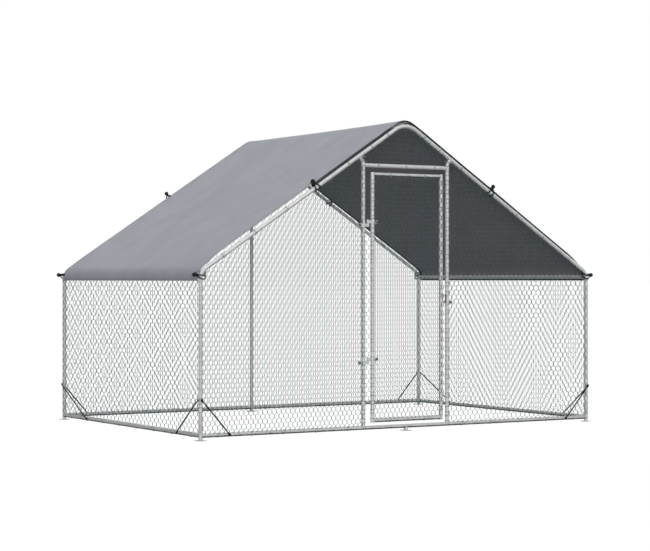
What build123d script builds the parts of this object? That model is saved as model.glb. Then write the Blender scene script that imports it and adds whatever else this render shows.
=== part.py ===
from build123d import *
import os
from math import acos, asin, atan2, cos, degrees, radians, sin, sqrt, tan

# Walk-in poultry run: a plugged tube frame with hexagonal wire netting, a cloth roof and a net door.
# Millimetres, +Z up. The origin is on the ground at the middle of the plan.
# X runs across the gable front, and the front faces -Y.

# Frame tubes, from axis to axis
post_span_x = 2975.0
post_span_y = 2024.0
rail_height = 30.0
eave_height = 1017.0
ridge_height = 1984.0
bend_radius = 80.0
ridge_bend_radius = 147.0
tube_diameter = 25.0
tube_wall = 1.0

# Plugged joints: how far each connector reaches from its corner, and its spigot
spigot_length = 40.0
spigot_fit = 0.2
branch_step = 0.2
weld_gap = 0.1
base_arm = 75.0
middle_arm = 50.0
eave_post_arm = 115.0
eave_rafter_arm = 160.0
eave_rail_arm = 100.0
eave_rail_drop = 29.0
ridge_rafter_arm = 110.0
ridge_pole_arm = 75.0
ridge_post_arm = 75.0

# Flats on the sections of bent and branched fittings, and of the plugs hidden in the tubes
fitting_sides = 12
plug_sides = 8

# Feet
foot_diameter = 75.0
foot_thickness = 3.0
peg_hole_diameter = 9.0
peg_hole_offset = 26.0

# Corner braces
brace_rise = 214.0
brace_reach_x = 190.0
brace_reach_front = 285.0
brace_reach_back = 410.0
brace_width = 8.0
brace_end_diameter = 16.0
brace_thickness = 3.0

# Netting
net_pitch = 320.0
net_strand = 4.0
net_border = 6.0
net_thickness = 1.5
net_seat = 0.3
net_rafter_drop = 17.0
net_corner_cut = 60.0
net_seam = 2.0
net_notch_margin = 2.0
least_gap_share = 0.04

# Doorway and door
door_post_span = 650.0
header_drop = 76.2
head_bend_rise = 17.0
head_bend_radius = 25.0
head_joint_drop = 22.0
saddle_length = 40.0
saddle_thickness = 1.8
saddle_half_angle = 80.0
end_wall = 3.0
hinge_gap = 70.0
latch_gap = 50.0
door_bottom = 60.0
door_head_gap = 43.0
door_rail_inset = 14.0

# Clamps of the hinges and the latch
clamp_wall = 2.5
clamp_height = 22.0
clamp_fit = 0.15
ear_length = 22.0
ear_gap = 4.0

# Hinges
hinge_upper_height = 1316.0
hinge_lower_height = 443.0
hinge_step = 20.0
pin_diameter = 10.0
pin_fit = 0.05
pin_overhang = 5.0
eye_wall = 3.5
eye_seat = 0.3
hinge_web = 6.0

# Latch
latch_height = 823.0
fork_length = 52.0
fork_width = 12.0
fork_slot = 32.0
fork_plate = 2.5
fork_lip = 3.0
fork_lip_length = 14.0
fork_bridge_start = 7.0
fork_bridge_height = 3.0
fork_pin_diameter = 6.0
fork_pin_fit = 0.05
fork_offset = 24.0
lug_thickness = 6.0
lug_width = 10.0

# Roof cover and its ties
cover_seat = 0.3
cover_thickness = 1.5
skirt_drop = 50.0
skirt_net_gap = 2.0
cover_setback = 12.0
eyelet_margin = 22.0
eyelet_diameter = 14.0
ball_diameter = 28.0
ball_flat = 13.0
ball_sides = 8
ball_bands = 4
loop_thickness = 4.0
loop_width = 8.0
loop_mouth = 10.0
loop_upright = 12.0
rafter_tie_x = 673.0
rafter_tie_reach = 46.0
rafter_loop_seat = 0.8
eave_tie_rise = 33.0
eave_tie_reach = 50.6
eave_tie_fall = 5.0
eave_loop_seat = 6.4

# Worked-out sizes
half_x = post_span_x / 2
half_y = post_span_y / 2
peg_x = half_x - peg_hole_offset / sqrt(2)
peg_y = half_y + peg_hole_offset / sqrt(2)
tube_r = tube_diameter / 2
bore_r = tube_r - tube_wall
spigot_r = bore_r - spigot_fit
branch_r = tube_r - branch_step
pitch = atan2(ridge_height - eave_height, half_x)
eave_turn = acos(sin(pitch))
bend_start = eave_height - bend_radius * tan(eave_turn / 2)
ridge_axis = ridge_height - bend_radius * (1 / cos(pitch) - 1)
ridge_bend_axis = ridge_height - ridge_bend_radius * (1 / cos(pitch) - 1)
ridge_bend_x = ridge_bend_radius * sin(pitch)
eave_rail_height = eave_height - eave_rail_drop
skirt_height = eave_height - skirt_drop
door_post_x = door_post_span / 2
hinge_x = -door_post_x + hinge_gap / 2
stile_left_x = -door_post_x + hinge_gap
stile_right_x = door_post_x - latch_gap
clamp_r = tube_r + clamp_fit + clamp_wall
eye_outer_r = pin_diameter / 2 + pin_fit + eye_wall
net_face = tube_r + net_seat
brace_face = net_face + net_thickness + net_seat
cover_r = tube_r + cover_seat
cover_outer_r = cover_r + cover_thickness
eyelet_inset = cover_setback + eyelet_margin
fork_x = door_post_x - fork_offset
header_height = ridge_height - tan(pitch) * door_post_x - header_drop
head_bend_height = header_height + head_bend_rise
head_joint_height = header_height - head_joint_drop
door_top = header_height - door_head_gap
hinge_heights = (hinge_upper_height, hinge_lower_height)


def eave_path_x(height):
    """Distance of the bent eave tube's axis from the middle plane, at a height near the eave."""
    above = max(0.0, height - bend_start)
    return half_x - bend_radius + sqrt(bend_radius**2 - above**2)


def rafter_height(x):
    """Height of the rafters' axis at a distance from the middle plane."""
    return ridge_height - tan(pitch) * abs(x)


def bar(start, end, radius):
    """Round bar between two points."""
    run = Vector(end) - Vector(start)
    along = Plane(Vector(start), z_dir=run)
    return along * Cylinder(radius, run.length, align=(Align.CENTER, Align.CENTER, Align.MIN))


def flatted_bar(start, end, radius, sides):
    """Bar with a regular section of a few flats between two points."""
    run = Vector(end) - Vector(start)
    section = Plane(Vector(start), z_dir=run) * RegularPolygon(radius, sides)
    return extrude(section, amount=run.length)


def tube(start, end):
    """Frame tube between two points, open at both ends for the fittings' plugs."""
    return bar(start, end, tube_r) - flatted_bar(start, end, bore_r, plug_sides)


def closed_tube(start, end, inset):
    """Tube between two points whose bore stops short of both ends by an inset."""
    step = (Vector(end) - Vector(start)).normalized() * inset
    return bar(start, end, tube_r) - flatted_bar(Vector(start) + step, Vector(end) - step, bore_r, plug_sides)


def arm(start, end):
    """Straight run of a fitting, as thick as the tubes."""
    return flatted_bar(start, end, tube_r, fitting_sides)


def spigot(shoulder, direction):
    """Plug that goes into the next tube, from the fitting's shoulder outward."""
    start = Vector(shoulder)
    return flatted_bar(start, start + Vector(direction).normalized() * spigot_length, spigot_r, plug_sides)


def bent_arm(points, bend):
    """Bent run of a fitting along straight runs joined by a tangent bend."""
    path = FilletPolyline(*points, radius=bend)
    section = Plane(path @ 0, z_dir=path % 0) * RegularPolygon(tube_r, fitting_sides)
    return sweep(section, path=path)


def branch(start, direction, length):
    """Welded side arm of a fitting with its spigot."""
    start = Vector(start)
    end = start + Vector(direction) * length
    return flatted_bar(start, end, branch_r, fitting_sides) + spigot(end, direction)


def foot(x, y):
    """Round foot plate under a leg."""
    plate = Cylinder(foot_diameter / 2, foot_thickness, align=(Align.CENTER, Align.CENTER, Align.MIN))
    return Pos(x, y, 0) * plate


def base_corner(side, end):
    """Three-way corner: post above, one rail along X and one along Y, foot with a peg hole below."""
    x, y = side * half_x, end * half_y
    post_joint = (x, y, rail_height + base_arm)
    body = arm((x, y, foot_thickness), post_joint) + spigot(post_joint, (0, 0, 1))
    body += branch((x, y, rail_height), (-side, 0, 0), base_arm)
    body += branch((x, y, rail_height), (0, -end, 0), base_arm)
    peg = Pos(side * peg_x, end * peg_y, 0) * Cylinder(peg_hole_diameter / 2, 3 * foot_thickness)
    return body + (foot(x, y) - peg)


def middle_foot(end, takes_post):
    """Straight fitting between two rails, with a foot below and, at the back, a post above."""
    y = end * half_y
    left, right = (-middle_arm, y, rail_height), (middle_arm, y, rail_height)
    body = arm(left, right) + spigot(left, (-1, 0, 0)) + spigot(right, (1, 0, 0))
    body += flatted_bar((0, y, foot_thickness), (0, y, rail_height), branch_r, fitting_sides)
    if takes_post:
        body += branch((0, y, rail_height), (0, 0, 1), base_arm)
    return body + foot(0, y)


def eave_corner(side, end):
    """Where the axes of a corner post and its rafter would meet."""
    return Vector(side * half_x, end * half_y, eave_height)


def ridge_corner(end):
    """Where the axes of a gable's two rafters would meet."""
    return Vector(0, end * half_y, ridge_height)


def up_rafter(side):
    """Direction of a rafter from its eave to the ridge."""
    return Vector(-side * cos(pitch), 0, sin(pitch))


def eave_elbow(side, end):
    """Bent fitting from a corner post into its rafter, with a side arm for the eave rail."""
    corner = eave_corner(side, end)
    post_joint = corner - Vector(0, 0, eave_post_arm)
    rafter_joint = corner + up_rafter(side) * eave_rafter_arm
    body = bent_arm((post_joint, corner, rafter_joint), bend_radius)
    body += spigot(post_joint, (0, 0, -1)) + spigot(rafter_joint, up_rafter(side))
    rail_start = (side * eave_path_x(eave_rail_height), end * half_y, eave_rail_height)
    return body + branch(rail_start, (0, -end, 0), eave_rail_arm)


def ridge_elbow(end, takes_post):
    """Bent fitting between a gable's rafters, with an arm for the ridge pole and, at the back, a post."""
    corner = ridge_corner(end)
    left_joint = corner - up_rafter(-1) * ridge_rafter_arm
    right_joint = corner - up_rafter(1) * ridge_rafter_arm
    body = bent_arm((left_joint, corner, right_joint), ridge_bend_radius)
    body += spigot(left_joint, -up_rafter(-1)) + spigot(right_joint, -up_rafter(1))
    body += branch((0, end * half_y, ridge_axis), (0, -end, 0), ridge_pole_arm)
    if takes_post:
        body += branch((0, end * half_y, ridge_axis), (0, 0, -1), ridge_post_arm)
    return body


def corner_post(side, end):
    """Upright between a base corner and an eave elbow."""
    x, y = side * half_x, end * half_y
    return tube((x, y, rail_height + base_arm), (x, y, eave_height - eave_post_arm))


def rafter(side, end):
    """Sloping tube between an eave elbow and a ridge elbow."""
    low = eave_corner(side, end) + up_rafter(side) * eave_rafter_arm
    high = ridge_corner(end) - up_rafter(side) * ridge_rafter_arm
    return tube(low, high)


def gable_rail(side, end):
    """Half of a front or back bottom rail, from a corner to the middle foot."""
    y = end * half_y
    return tube((side * middle_arm, y, rail_height), (side * (half_x - base_arm), y, rail_height))


def lengthwise(x, z, arm):
    """Tube that runs from front to back between two connector arms."""
    return tube((x, -half_y + arm, z), (x, half_y - arm, z))


def door_post(side):
    """Upright beside the doorway, its foot coped over the front rail, its top on the head's spigot."""
    x = side * door_post_x
    post = tube((x, -half_y, rail_height), (x, -half_y, head_joint_height))
    rail = bar((x - tube_diameter, -half_y, rail_height), (x + tube_diameter, -half_y, rail_height),
               tube_r + weld_gap)
    return post - rail


def head_points(side):
    """Axis of a door post's head: its joint, its bend and its foot square on the rafter's axis."""
    x = side * door_post_x
    rise = rafter_height(door_post_x) - head_bend_height
    reach = rise * cos(pitch)
    bend_point = Vector(x, -half_y, head_bend_height)
    on_rafter = bend_point + Vector(side * sin(pitch), 0, cos(pitch)) * reach
    return Vector(x, -half_y, head_joint_height), bend_point, on_rafter


def door_post_head(side):
    """Bent stub from a door post square up to the rafter, with a saddle round the rafter's underside."""
    joint, bend_point, on_rafter = head_points(side)
    stub = bent_arm((joint, bend_point, on_rafter), head_bend_radius)
    half_run = up_rafter(side) * saddle_length / 2
    stub -= bar(on_rafter - half_run * 2, on_rafter + half_run * 2, tube_r + weld_gap)
    section = Plane(on_rafter - half_run, x_dir=(0, 1, 0), z_dir=up_rafter(side))
    ring = Circle(tube_r + weld_gap + saddle_thickness) - Circle(tube_r + weld_gap)
    below = 1 if section.y_dir.Z < 0 else -1
    reach = 2 * tube_diameter
    spread = reach * tan(radians(saddle_half_angle))
    wedge = make_face(Polyline((0, 0), (spread, below * reach), (-spread, below * reach), close=True))
    saddle = extrude(section * (ring & wedge), amount=saddle_length)
    return stub + saddle + spigot(joint, (0, 0, -1))


def door_header():
    """Tube between the heads of the door posts, coped to both."""
    ends = [(side * door_post_x, -half_y, header_height) for side in (-1, 1)]
    header = closed_tube(*ends, tube_r + end_wall)
    for x, y, z in ends:
        header -= bar((x, y, z - tube_diameter), (x, y, z + tube_diameter), tube_r + weld_gap)
    return header


def door_stile(x):
    """Upright of the door, closed at both ends."""
    return closed_tube((x, -half_y, door_bottom), (x, -half_y, door_top), end_wall)


def door_rail(z):
    """Crosspiece of the door, coped to both stiles."""
    rail = closed_tube((stile_left_x, -half_y, z), (stile_right_x, -half_y, z), tube_r + end_wall)
    for x in (stile_left_x, stile_right_x):
        rail -= bar((x, -half_y, z - tube_diameter), (x, -half_y, z + tube_diameter), tube_r + weld_gap)
    return rail


def flats(radius):
    """Regular outline of a clamp or an eye that clears a circle of the given radius."""
    return RegularPolygon(radius, fitting_sides, major_radius=False)


def clamp_plan(outward):
    """Plan of a split clamp round a tube at the origin, with two ears that point along X."""
    ears_end = clamp_r + ear_length
    ears = Rectangle(ears_end, ear_gap + 2 * clamp_wall, align=(Align.MIN, Align.CENTER))
    split = Rectangle(ears_end + clamp_wall, ear_gap, align=(Align.MIN, Align.CENTER))
    plan = flats(clamp_r) + ears
    plan -= flats(tube_r + clamp_fit)
    plan -= split
    return plan if outward > 0 else plan.rotate(Axis.Z, 180)


def on_upright(plan, x, bottom, height):
    """Solid of a plan drawn round an upright of the front, from a height up."""
    return extrude(Pos(x, -half_y, bottom) * plan, amount=height)


def hinge_lever(towards, boss_r):
    """Plan of the web and boss that join a hinge's clamp to its pin, on the +X or -X side."""
    reach = hinge_gap / 2
    root = tube_r + clamp_fit
    web = Rectangle(reach - root, hinge_web, align=(Align.MAX, Align.CENTER))
    return Pos(towards * reach, 0) * (flats(boss_r) + (web if towards > 0 else web.mirror(Plane.YZ)))


def hinge_pin(z):
    """Post half of a hinge: clamp with a boss that carries the upright pin."""
    bottom = z - clamp_height / 2
    clamp = on_upright(clamp_plan(-1), -door_post_x, bottom, clamp_height)
    boss = on_upright(hinge_lever(1, eye_outer_r), -door_post_x, bottom, hinge_step)
    pin_top = bottom + hinge_step + eye_seat + clamp_height + pin_overhang
    return clamp + boss + bar((hinge_x, -half_y, z), (hinge_x, -half_y, pin_top), pin_diameter / 2)


def hinge_eye(z):
    """Door half of a hinge: clamp round the stile with an eye that turns on the pin."""
    bottom = z + hinge_step + eye_seat - clamp_height / 2
    plan = clamp_plan(1) + hinge_lever(-1, eye_outer_r)
    plan -= Pos(-hinge_gap / 2, 0) * Circle(pin_diameter / 2 + pin_fit)
    return on_upright(plan, stile_left_x, bottom, clamp_height)


def latch_clamp():
    """Clamp of the latch, with a flat lug that carries the fork's pivot."""
    clamp = on_upright(clamp_plan(1), door_post_x, latch_height - clamp_height / 2, clamp_height)
    lug_length = fork_offset - tube_r - clamp_fit
    lug = Rectangle(lug_length, lug_width, align=(Align.MIN, Align.CENTER)) + flats(lug_width / 2)
    lug -= Circle(fork_pin_diameter / 2 + fork_pin_fit)
    face = Plane((fork_x, -half_y + lug_thickness / 2, latch_height), x_dir=(1, 0, 0), z_dir=(0, -1, 0))
    return clamp + extrude(face * lug, amount=lug_thickness)


def latch_fork():
    """Drop fork, raised: two lipped tines that can straddle the door's stile, a bridge and the pivot pin."""
    plate = Rectangle(fork_width, fork_length, align=(Align.CENTER, Align.MIN)) + flats(fork_width / 2)
    lip = Pos(-fork_width / 2, fork_length) * Rectangle(
        2 * fork_lip, fork_lip_length, align=(Align.CENTER, Align.MAX))
    outline = plate + lip
    fork = None
    outer = fork_slot / 2 + fork_plate
    for back in (-half_y - fork_slot / 2, -half_y + outer):
        face = Plane((fork_x, back, latch_height), x_dir=(1, 0, 0), z_dir=(0, -1, 0))
        tine = extrude(face * outline, amount=fork_plate)
        fork = tine if fork is None else fork + tine
    bridge = Pos(fork_x, -half_y, latch_height + fork_bridge_start) * Box(
        fork_width, 2 * outer, fork_bridge_height, align=(Align.CENTER, Align.CENTER, Align.MIN))
    pin = bar((fork_x, -half_y - outer, latch_height), (fork_x, -half_y + outer, latch_height),
              fork_pin_diameter / 2)
    return fork + bridge + pin


def net_panel(wall, outline, notches):
    """One flat net: an outlined sheet, less its notches, pierced by hexagons with upright sides."""
    sheet = make_face(Polyline(*outline, close=True))
    for u, v, width, height in notches:
        sheet -= Pos(u, v) * Rectangle(width, height)
    window = offset(sheet, amount=-net_border, kind=Kind.INTERSECTION)
    cell = RegularPolygon((net_pitch - net_strand) / 2, 6, major_radius=False, rotation=30)
    least_gap = least_gap_share * net_pitch**2
    row_pitch = net_pitch * sqrt(3) / 2
    box = window.bounding_box()
    rows = int(box.size.Y / row_pitch) + 2
    columns = int(box.size.X / net_pitch) + 3
    gaps = []
    for row in range(rows):
        for column in range(columns):
            u = box.min.X + (column - 0.5 + 0.5 * (row % 2)) * net_pitch
            v = box.min.Y + row * row_pitch
            found = window & (Pos(u, v) * cell)
            gaps += [gap for gap in found.faces() if gap.area > least_gap] if found else []
    return extrude(wall * (sheet - gaps), amount=net_thickness)


front_wall = Plane((0, -half_y - net_face, 0), x_dir=(1, 0, 0), z_dir=(0, -1, 0))
back_wall = Plane((0, half_y + net_face, 0), x_dir=(-1, 0, 0), z_dir=(0, 1, 0))
left_wall = Plane((-half_x - net_face, 0, 0), x_dir=(0, -1, 0), z_dir=(-1, 0, 0))
right_wall = Plane((half_x + net_face, 0, 0), x_dir=(0, 1, 0), z_dir=(1, 0, 0))
net_top_drop = net_rafter_drop / cos(pitch)


def net_top(x):
    """Upper edge of a gable net at a distance from the middle plane."""
    return rafter_height(x) - net_top_drop


def eave_cut(side):
    """The two points that clip a gable net's corner under the eave."""
    inner_x = half_x - net_corner_cut * cos(pitch)
    return (side * half_x, net_top(half_x) - net_corner_cut), (side * inner_x, net_top(inner_x))


def net_peak():
    """Upper edge of a gable net under the ridge elbow's bend, from right to left."""
    side_height = net_top(ridge_bend_x)
    return (ridge_bend_x, side_height), (0, ridge_bend_axis - net_rafter_drop), (-ridge_bend_x, side_height)


def clamp_notch(x, z):
    """Notch that keeps a net's edge off a clamp."""
    size = 2 * (clamp_r + net_notch_margin)
    return x, z, size, clamp_height + 2 * net_notch_margin


def side_net(wall):
    """Net of one long side, from the bottom rail to the roof's skirt."""
    top = skirt_height - skirt_net_gap
    outline = [(-half_y, rail_height), (half_y, rail_height), (half_y, top), (-half_y, top)]
    return net_panel(wall, outline, [])


def back_net():
    """Net of the whole back gable."""
    outline = [(-half_x, rail_height), (half_x, rail_height), *eave_cut(1), *net_peak()]
    return net_panel(back_wall, outline + list(reversed(eave_cut(-1))), [])


def front_net(side):
    """Net beside the doorway, up to the rafter."""
    edge = side * (door_post_x + net_seam / 2)
    low, high = eave_cut(side)
    outline = [(edge, rail_height), (side * half_x, rail_height), low, high, (edge, net_top(edge))]
    clamps = hinge_heights if side < 0 else (latch_height,)
    return net_panel(front_wall, outline, [clamp_notch(side * door_post_x, z) for z in clamps])


def gable_net():
    """Net over the doorway, from the header to the ridge."""
    edge = door_post_x - net_seam / 2
    outline = [(-edge, header_height), (edge, header_height), (edge, net_top(edge)), *net_peak(),
               (-edge, net_top(edge))]
    return net_panel(front_wall, outline, [])


def door_net():
    """Net on the front of the door frame."""
    low, high = door_bottom + door_rail_inset, door_top - door_rail_inset
    outline = [(stile_left_x, low), (stile_right_x, low), (stile_right_x, high), (stile_left_x, high)]
    clamps = [clamp_notch(stile_left_x, z + hinge_step + eye_seat) for z in hinge_heights]
    return net_panel(front_wall, outline, clamps)


def strap(wall, start, end):
    """Flat brace with round ends, laid on a wall's net between two points of its plane."""
    run = Vector(*end) - Vector(*start)
    middle = (Vector(*start) + Vector(*end)) * 0.5
    flat = Pos(*middle) * Rot(Z=degrees(atan2(run.Y, run.X))) * Rectangle(run.length, brace_width)
    for u, v in (start, end):
        flat += Pos(u, v) * RegularPolygon(brace_end_diameter / 2, plug_sides)
    return extrude(wall.offset(brace_face - net_face) * flat, amount=brace_thickness)


def corner_braces():
    """Two braces at the foot of each corner post, one on each wall."""
    high = rail_height + brace_rise
    braces = []
    for wall, half, reaches in ((front_wall, half_x, (brace_reach_x, brace_reach_x)),
                                (back_wall, half_x, (brace_reach_x, brace_reach_x)),
                                (left_wall, half_y, (brace_reach_back, brace_reach_front)),
                                (right_wall, half_y, (brace_reach_front, brace_reach_back))):
        for side, reach in zip((-1, 1), reaches):
            braces.append(strap(wall, (side * half, high), (side * (half - reach), rail_height)))
    return braces


def roof_line(gap):
    """Outline of the gable frame at a distance outside its tubes' axis, from skirt to skirt."""
    x = half_x + gap
    peak = ridge_height + gap / cos(pitch)
    eave = peak - tan(pitch) * x
    points = [(-x, skirt_height), (-x, eave), (0, peak), (x, eave), (x, skirt_height)]
    return FilletPolyline(*points, radius=bend_radius + gap)


def rafter_tie(side, end):
    """Place of a tie half-way up a rafter: its plane, ball distance, loop radius and lean from square."""
    x = side * rafter_tie_x
    centre = Vector(x, end * half_y, rafter_height(x))
    outward = Vector(side * sin(pitch), 0, cos(pitch))
    return tie_plane(centre, outward, end), rafter_tie_reach, tube_r + rafter_loop_seat, 0.0


def eave_tie(side, end):
    """Place of a tie on an eave bend, above the eave rail's arm, in the same terms as a rafter tie."""
    height = bend_start + eave_tie_rise
    centre = Vector(side * eave_path_x(height), end * half_y, height)
    fall = asin(eave_tie_fall / eave_tie_reach)
    outward = Vector(side * cos(fall), 0, -sin(fall))
    lean = fall + asin(eave_tie_rise / bend_radius)
    return tie_plane(centre, outward, end), eave_tie_reach, tube_r + eave_loop_seat, lean


def tie_plane(centre, outward, end):
    """Plane of a tie: x runs along Y towards the inside of the roof, y runs out to the ball."""
    inward = Vector(0, -end, 0)
    return Plane(centre, x_dir=inward, z_dir=inward.cross(outward))


def tie_loop(plane, reach, loop_r, lean):
    """Elastic of a tie: a band round the tube, through the cover's eyelet and up to the ball's flat."""
    mouth = reach - ball_flat
    strand_x = eyelet_inset + loop_thickness / 2
    cover_at = (cover_r + cover_outer_r) / 2 / cos(lean)
    round_tube = RegularPolygon(loop_r + loop_thickness, fitting_sides)
    at_ball = Line((-loop_mouth / 2, mouth), (loop_mouth / 2, mouth))
    at_eyelet = Line((strand_x, cover_at - loop_upright / 2), (strand_x, cover_at + loop_upright / 2))
    outside = make_hull([*round_tube.edges(), at_ball, at_eyelet])
    band = outside - offset(outside, amount=-loop_thickness, kind=Kind.INTERSECTION)
    return extrude(plane * band, amount=loop_width / 2, both=True)


def tie_ball(plane, reach, loop_r, lean):
    """Ball of a tie, in bands of flats from the flat where the elastic enters to its far end."""
    ball_r = ball_diameter / 2
    lowest = asin(ball_flat / ball_r)
    levels = [-lowest + 2 * lowest * level / ball_bands for level in range(ball_bands + 1)]
    rounds = [Pos(0, 0, ball_r * sin(level)) * RegularPolygon(ball_r * cos(level), ball_sides)
              for level in levels]
    outward = Plane(plane.origin + plane.y_dir * reach, z_dir=plane.y_dir)
    return outward * loft(rounds, ruled=True)


def tie_eyelet(plane, reach, loop_r, lean):
    """Bar that pierces the cover where a tie's inner strand comes out through it."""
    return plane * (Pos(eyelet_inset, 0) * flatted_bar((0, 0, 0), (0, reach, 0), eyelet_diameter / 2, plug_sides))


def gable_plane(end):
    """Upright plane through a gable frame's axes, with x across and y up."""
    return Plane((0, end * half_y, 0), x_dir=(1, 0, 0), z_dir=(0, -1, 0))


def roof_cover():
    """Cloth over both slopes, rolled over the eaves, set back from the gable tubes, with the ties' eyelets."""
    outer, inner = roof_line(cover_outer_r), roof_line(cover_r)
    skirts = [Line(outer @ at, inner @ at) for at in (0, 1)]
    profile = make_face([*outer.edges(), *inner.edges(), *skirts])
    cover = extrude(gable_plane(1).offset(cover_setback) * profile, amount=post_span_y - 2 * cover_setback)
    return cover - [tie_eyelet(*tie) for tie in ties]


def group(shapes):
    """Separate solids that share one node."""
    return Compound([solid for shape in shapes for solid in shape.solids()])


sides = {"left": -1, "right": 1}
ends = {"front": -1, "back": 1}
corners = [(side, end) for side in sides.values() for end in ends.values()]
ties = [place(side, end) for place in (eave_tie, rafter_tie) for side, end in corners]

nodes = {
    "bottom_rail_left": lengthwise(-half_x, rail_height, base_arm),
    "bottom_rail_right": lengthwise(half_x, rail_height, base_arm),
    "eave_rail_left": lengthwise(-eave_path_x(eave_rail_height), eave_rail_height, eave_rail_arm),
    "eave_rail_right": lengthwise(eave_path_x(eave_rail_height), eave_rail_height, eave_rail_arm),
    "ridge_pole": lengthwise(0, ridge_axis, ridge_pole_arm),
    "back_post": tube((0, half_y, rail_height + base_arm), (0, half_y, ridge_axis - ridge_post_arm)),
    "middle_feet": group([middle_foot(end, takes_post=end > 0) for end in ends.values()]),
    "ridge_elbows": group([ridge_elbow(end, takes_post=end > 0) for end in ends.values()]),
    "door_post_heads": group([door_post_head(side) for side in sides.values()]),
    "door_header": door_header(),
    "door_stile_left": door_stile(stile_left_x),
    "door_stile_right": door_stile(stile_right_x),
    "door_rail_bottom": door_rail(door_bottom + door_rail_inset),
    "door_rail_top": door_rail(door_top - door_rail_inset),
    "hinge_pins": group([hinge_pin(z) for z in hinge_heights]),
    "hinge_eyes": group([hinge_eye(z) for z in hinge_heights]),
    "latch_clamp": latch_clamp(),
    "latch_fork": latch_fork(),
    "net_left": side_net(left_wall),
    "net_right": side_net(right_wall),
    "net_back": back_net(),
    "net_front_left": front_net(-1),
    "net_front_right": front_net(1),
    "net_front_gable": gable_net(),
    "net_door": door_net(),
    "corner_braces": group(corner_braces()),
    "roof_cover": roof_cover(),
    "tie_loops": group([tie_loop(*tie) for tie in ties]),
    "tie_balls": group([tie_ball(*tie) for tie in ties]),
}
for end_name, end in ends.items():
    for side_name, side in sides.items():
        nodes[f"bottom_rail_{end_name}_{side_name}"] = gable_rail(side, end)
        nodes[f"corner_post_{end_name}_{side_name}"] = corner_post(side, end)
        nodes[f"rafter_{end_name}_{side_name}"] = rafter(side, end)
for side_name, side in sides.items():
    nodes[f"base_corners_{side_name}"] = group([base_corner(side, end) for end in ends.values()])
    nodes[f"eave_elbows_{side_name}"] = group([eave_elbow(side, end) for end in ends.values()])
    nodes[f"door_post_{side_name}"] = door_post(side)

os.makedirs("parts", exist_ok=True)
for name, shape in nodes.items():
    export_step(shape, os.path.join("parts", f"{name}.step"))
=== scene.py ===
"""Dress a walk-in poultry run: a plugged tube frame with wire netting, a cloth roof and a net door.

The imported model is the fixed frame. Metres, +Z up; the front faces -Y and the origin is on the ground.
"""
from __future__ import annotations

import logging
import math
from dataclasses import dataclass, field
from enum import Enum
from typing import Sequence

import bmesh
import bpy
import numpy as np
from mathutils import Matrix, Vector

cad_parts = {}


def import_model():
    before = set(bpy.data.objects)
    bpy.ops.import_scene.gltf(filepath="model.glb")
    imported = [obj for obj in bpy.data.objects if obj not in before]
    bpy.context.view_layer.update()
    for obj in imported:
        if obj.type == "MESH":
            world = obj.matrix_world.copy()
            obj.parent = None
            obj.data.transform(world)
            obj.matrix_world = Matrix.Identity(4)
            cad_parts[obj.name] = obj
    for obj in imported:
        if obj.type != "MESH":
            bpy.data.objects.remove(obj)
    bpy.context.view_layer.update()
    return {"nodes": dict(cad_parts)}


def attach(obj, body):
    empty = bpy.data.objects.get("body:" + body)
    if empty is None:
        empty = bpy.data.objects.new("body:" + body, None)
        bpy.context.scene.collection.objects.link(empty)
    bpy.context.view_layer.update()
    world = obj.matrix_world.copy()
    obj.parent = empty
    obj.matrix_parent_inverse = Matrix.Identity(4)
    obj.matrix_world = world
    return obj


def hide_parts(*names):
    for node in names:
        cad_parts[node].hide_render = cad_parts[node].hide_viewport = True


log = logging.getLogger("poultry_run")

X_AXIS = np.array([1.0, 0.0, 0.0])
Y_AXIS = np.array([0.0, 1.0, 0.0])
Z_AXIS = np.array([0.0, 0.0, 1.0])
AXES = (X_AXIS, Y_AXIS, Z_AXIS)
LEFT, RIGHT, FRONT, BACK = -1, 1, -1, 1

# Angle over which a plate's edge is softened, and radius of a turned body at its closed ends
PLATE_SHARP = math.radians(28)
TIP = 0.0002

Colour = tuple[float, float, float]
Shape = tuple[np.ndarray, list]


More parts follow.
